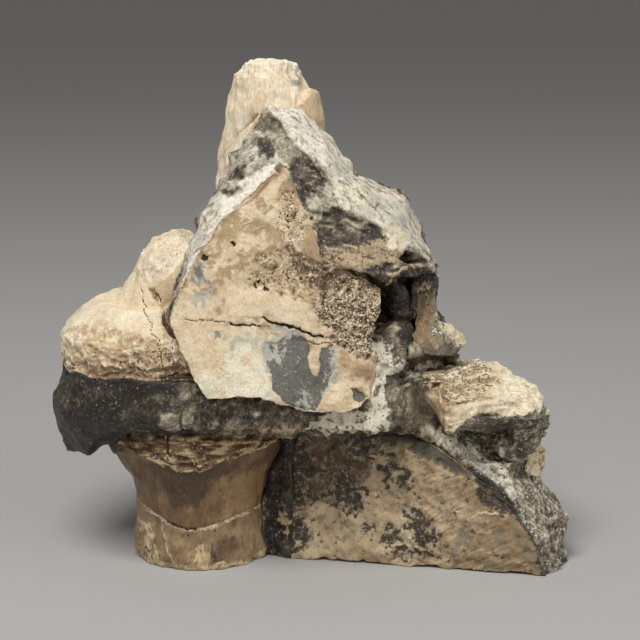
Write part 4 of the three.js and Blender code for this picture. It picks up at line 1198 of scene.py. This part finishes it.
for node_name, seed in (("nub_bone", 71), ("toe_bone", 81)):
    toe = float(node_name == "toe_bone")
    small, places, normals, gap, hidden = rough_out(
        node_name, node_name + "_fossil", voxel_mm=0.27, neighbours=["matrix"])
    ragged = front_of(places, 0.5, 1.5)
    spur = patch(ragged, SPUR, 1.6)
    cavity = patch(ragged, CAVITY, 0.5)
    height = 0.4 * rough_noise(places, 5, 2, seed) + 0.4 * fractured(places, 3, seed + 1)
    height += 0.3 * rough_noise(places, 1.3, 2, seed + 2) - 0.4 * spur - 1.0 * cavity
    folds = rough_noise(places * [1, 1, 0.45], 2.2, 3, seed + 7)
    height += spur * (0.5 * folds + 0.35 * fractured(places, 2.5, seed + 8))
    height = np.where(hidden, CLEARANCE_MM, height - 0.3)
    push_out(small, places, normals, height)
    places, normals = points_of(small)
    x, _, z = places.T
    holes = pores(places, 0.9, -0.6, seed + 3)
    push_out(small, places, normals, -0.35 * np.where(hidden, 0, holes))
    stands = standing_out(small) * ramp(gap, 0.7, 2)
    broken = rough_noise(places, 1.6, 3, seed + 6)
    crust = patch(ragged, CRUST, 0.8)
    under = ramp(64.8 + 1.2 * broken - z, -0.8, 0.8) * (1 - toe)
    dark_top = ramp(z + 2.5 * broken, 74, 85) * ramp(39 - x, 0, 4)
    keep_masks(small, {
        "brown": 0.25 - 0.2 * toe + (0.6 + 0.9 * toe) * rough_noise(places, 3, 4, seed + 5)
            - 1.5 * stands,
        "spur": spur * (0.75 + 0.8 * broken - 0.7 * folds) - 1.5 * stands * spur,
        "crust": crust * (0.8 + 0.8 * broken),
        "shadowed": np.max([cavity, under, 0.75 * dark_top * (1 - crust)], axis=0),
        "cream": (1.1 + 0.5 * broken) * ramp(1.5 - to_line(ragged, CREAM_EDGE), -1.2, 0.8)
                * ramp(75 - z, 0, 3)
            + 4 * np.clip(stands, 0, 0.25) * (1 - np.maximum(spur, under)) * (1 - crust)
            + 0.5 * spur * ramp(folds, 0.1, 0.6) + toe * (0.65 + 0.8 * broken),
        "pore": holes,
    })
    finish_piece(
        small, node_name,
        mineral("broken_tan_bone_" + node_name[:3], ["#8c7358", "#a68d6b", "#c4ab85"],
                [("brown", ("#836a4c", "#a0855f"), 0.85, 2), ("spur", ("#78654f", "#ad9776"), 0.8, 3),
                 ("crust", ("#6d6758", "#a39b88"), 0.7, 3.5),
                 ("shadowed", ("#544d40", "#857c6b"), 0.8, 3),
                 ("cream", ("#d2bd96", "#ecdebd"), 0.85, 2),
                 ("pore", ("#4b3828", "#6f5842"), 0.9, 0.9)],
                [("crust", 0.9, 0.5, ("#2f2a23", "#4b443a"), 0.1),
                 ("crust", 0.6, 0.45, ("#cfc7b4", "#eae4d3"), -0.1),
                 ("", 0.6, 0.1, ("#4d3c2b", "#7a6145"), 0.2)],
                cloud_mm=4, grain_mm=0.7, roughness=0.8, relief_mm=0.2),
        hidden)
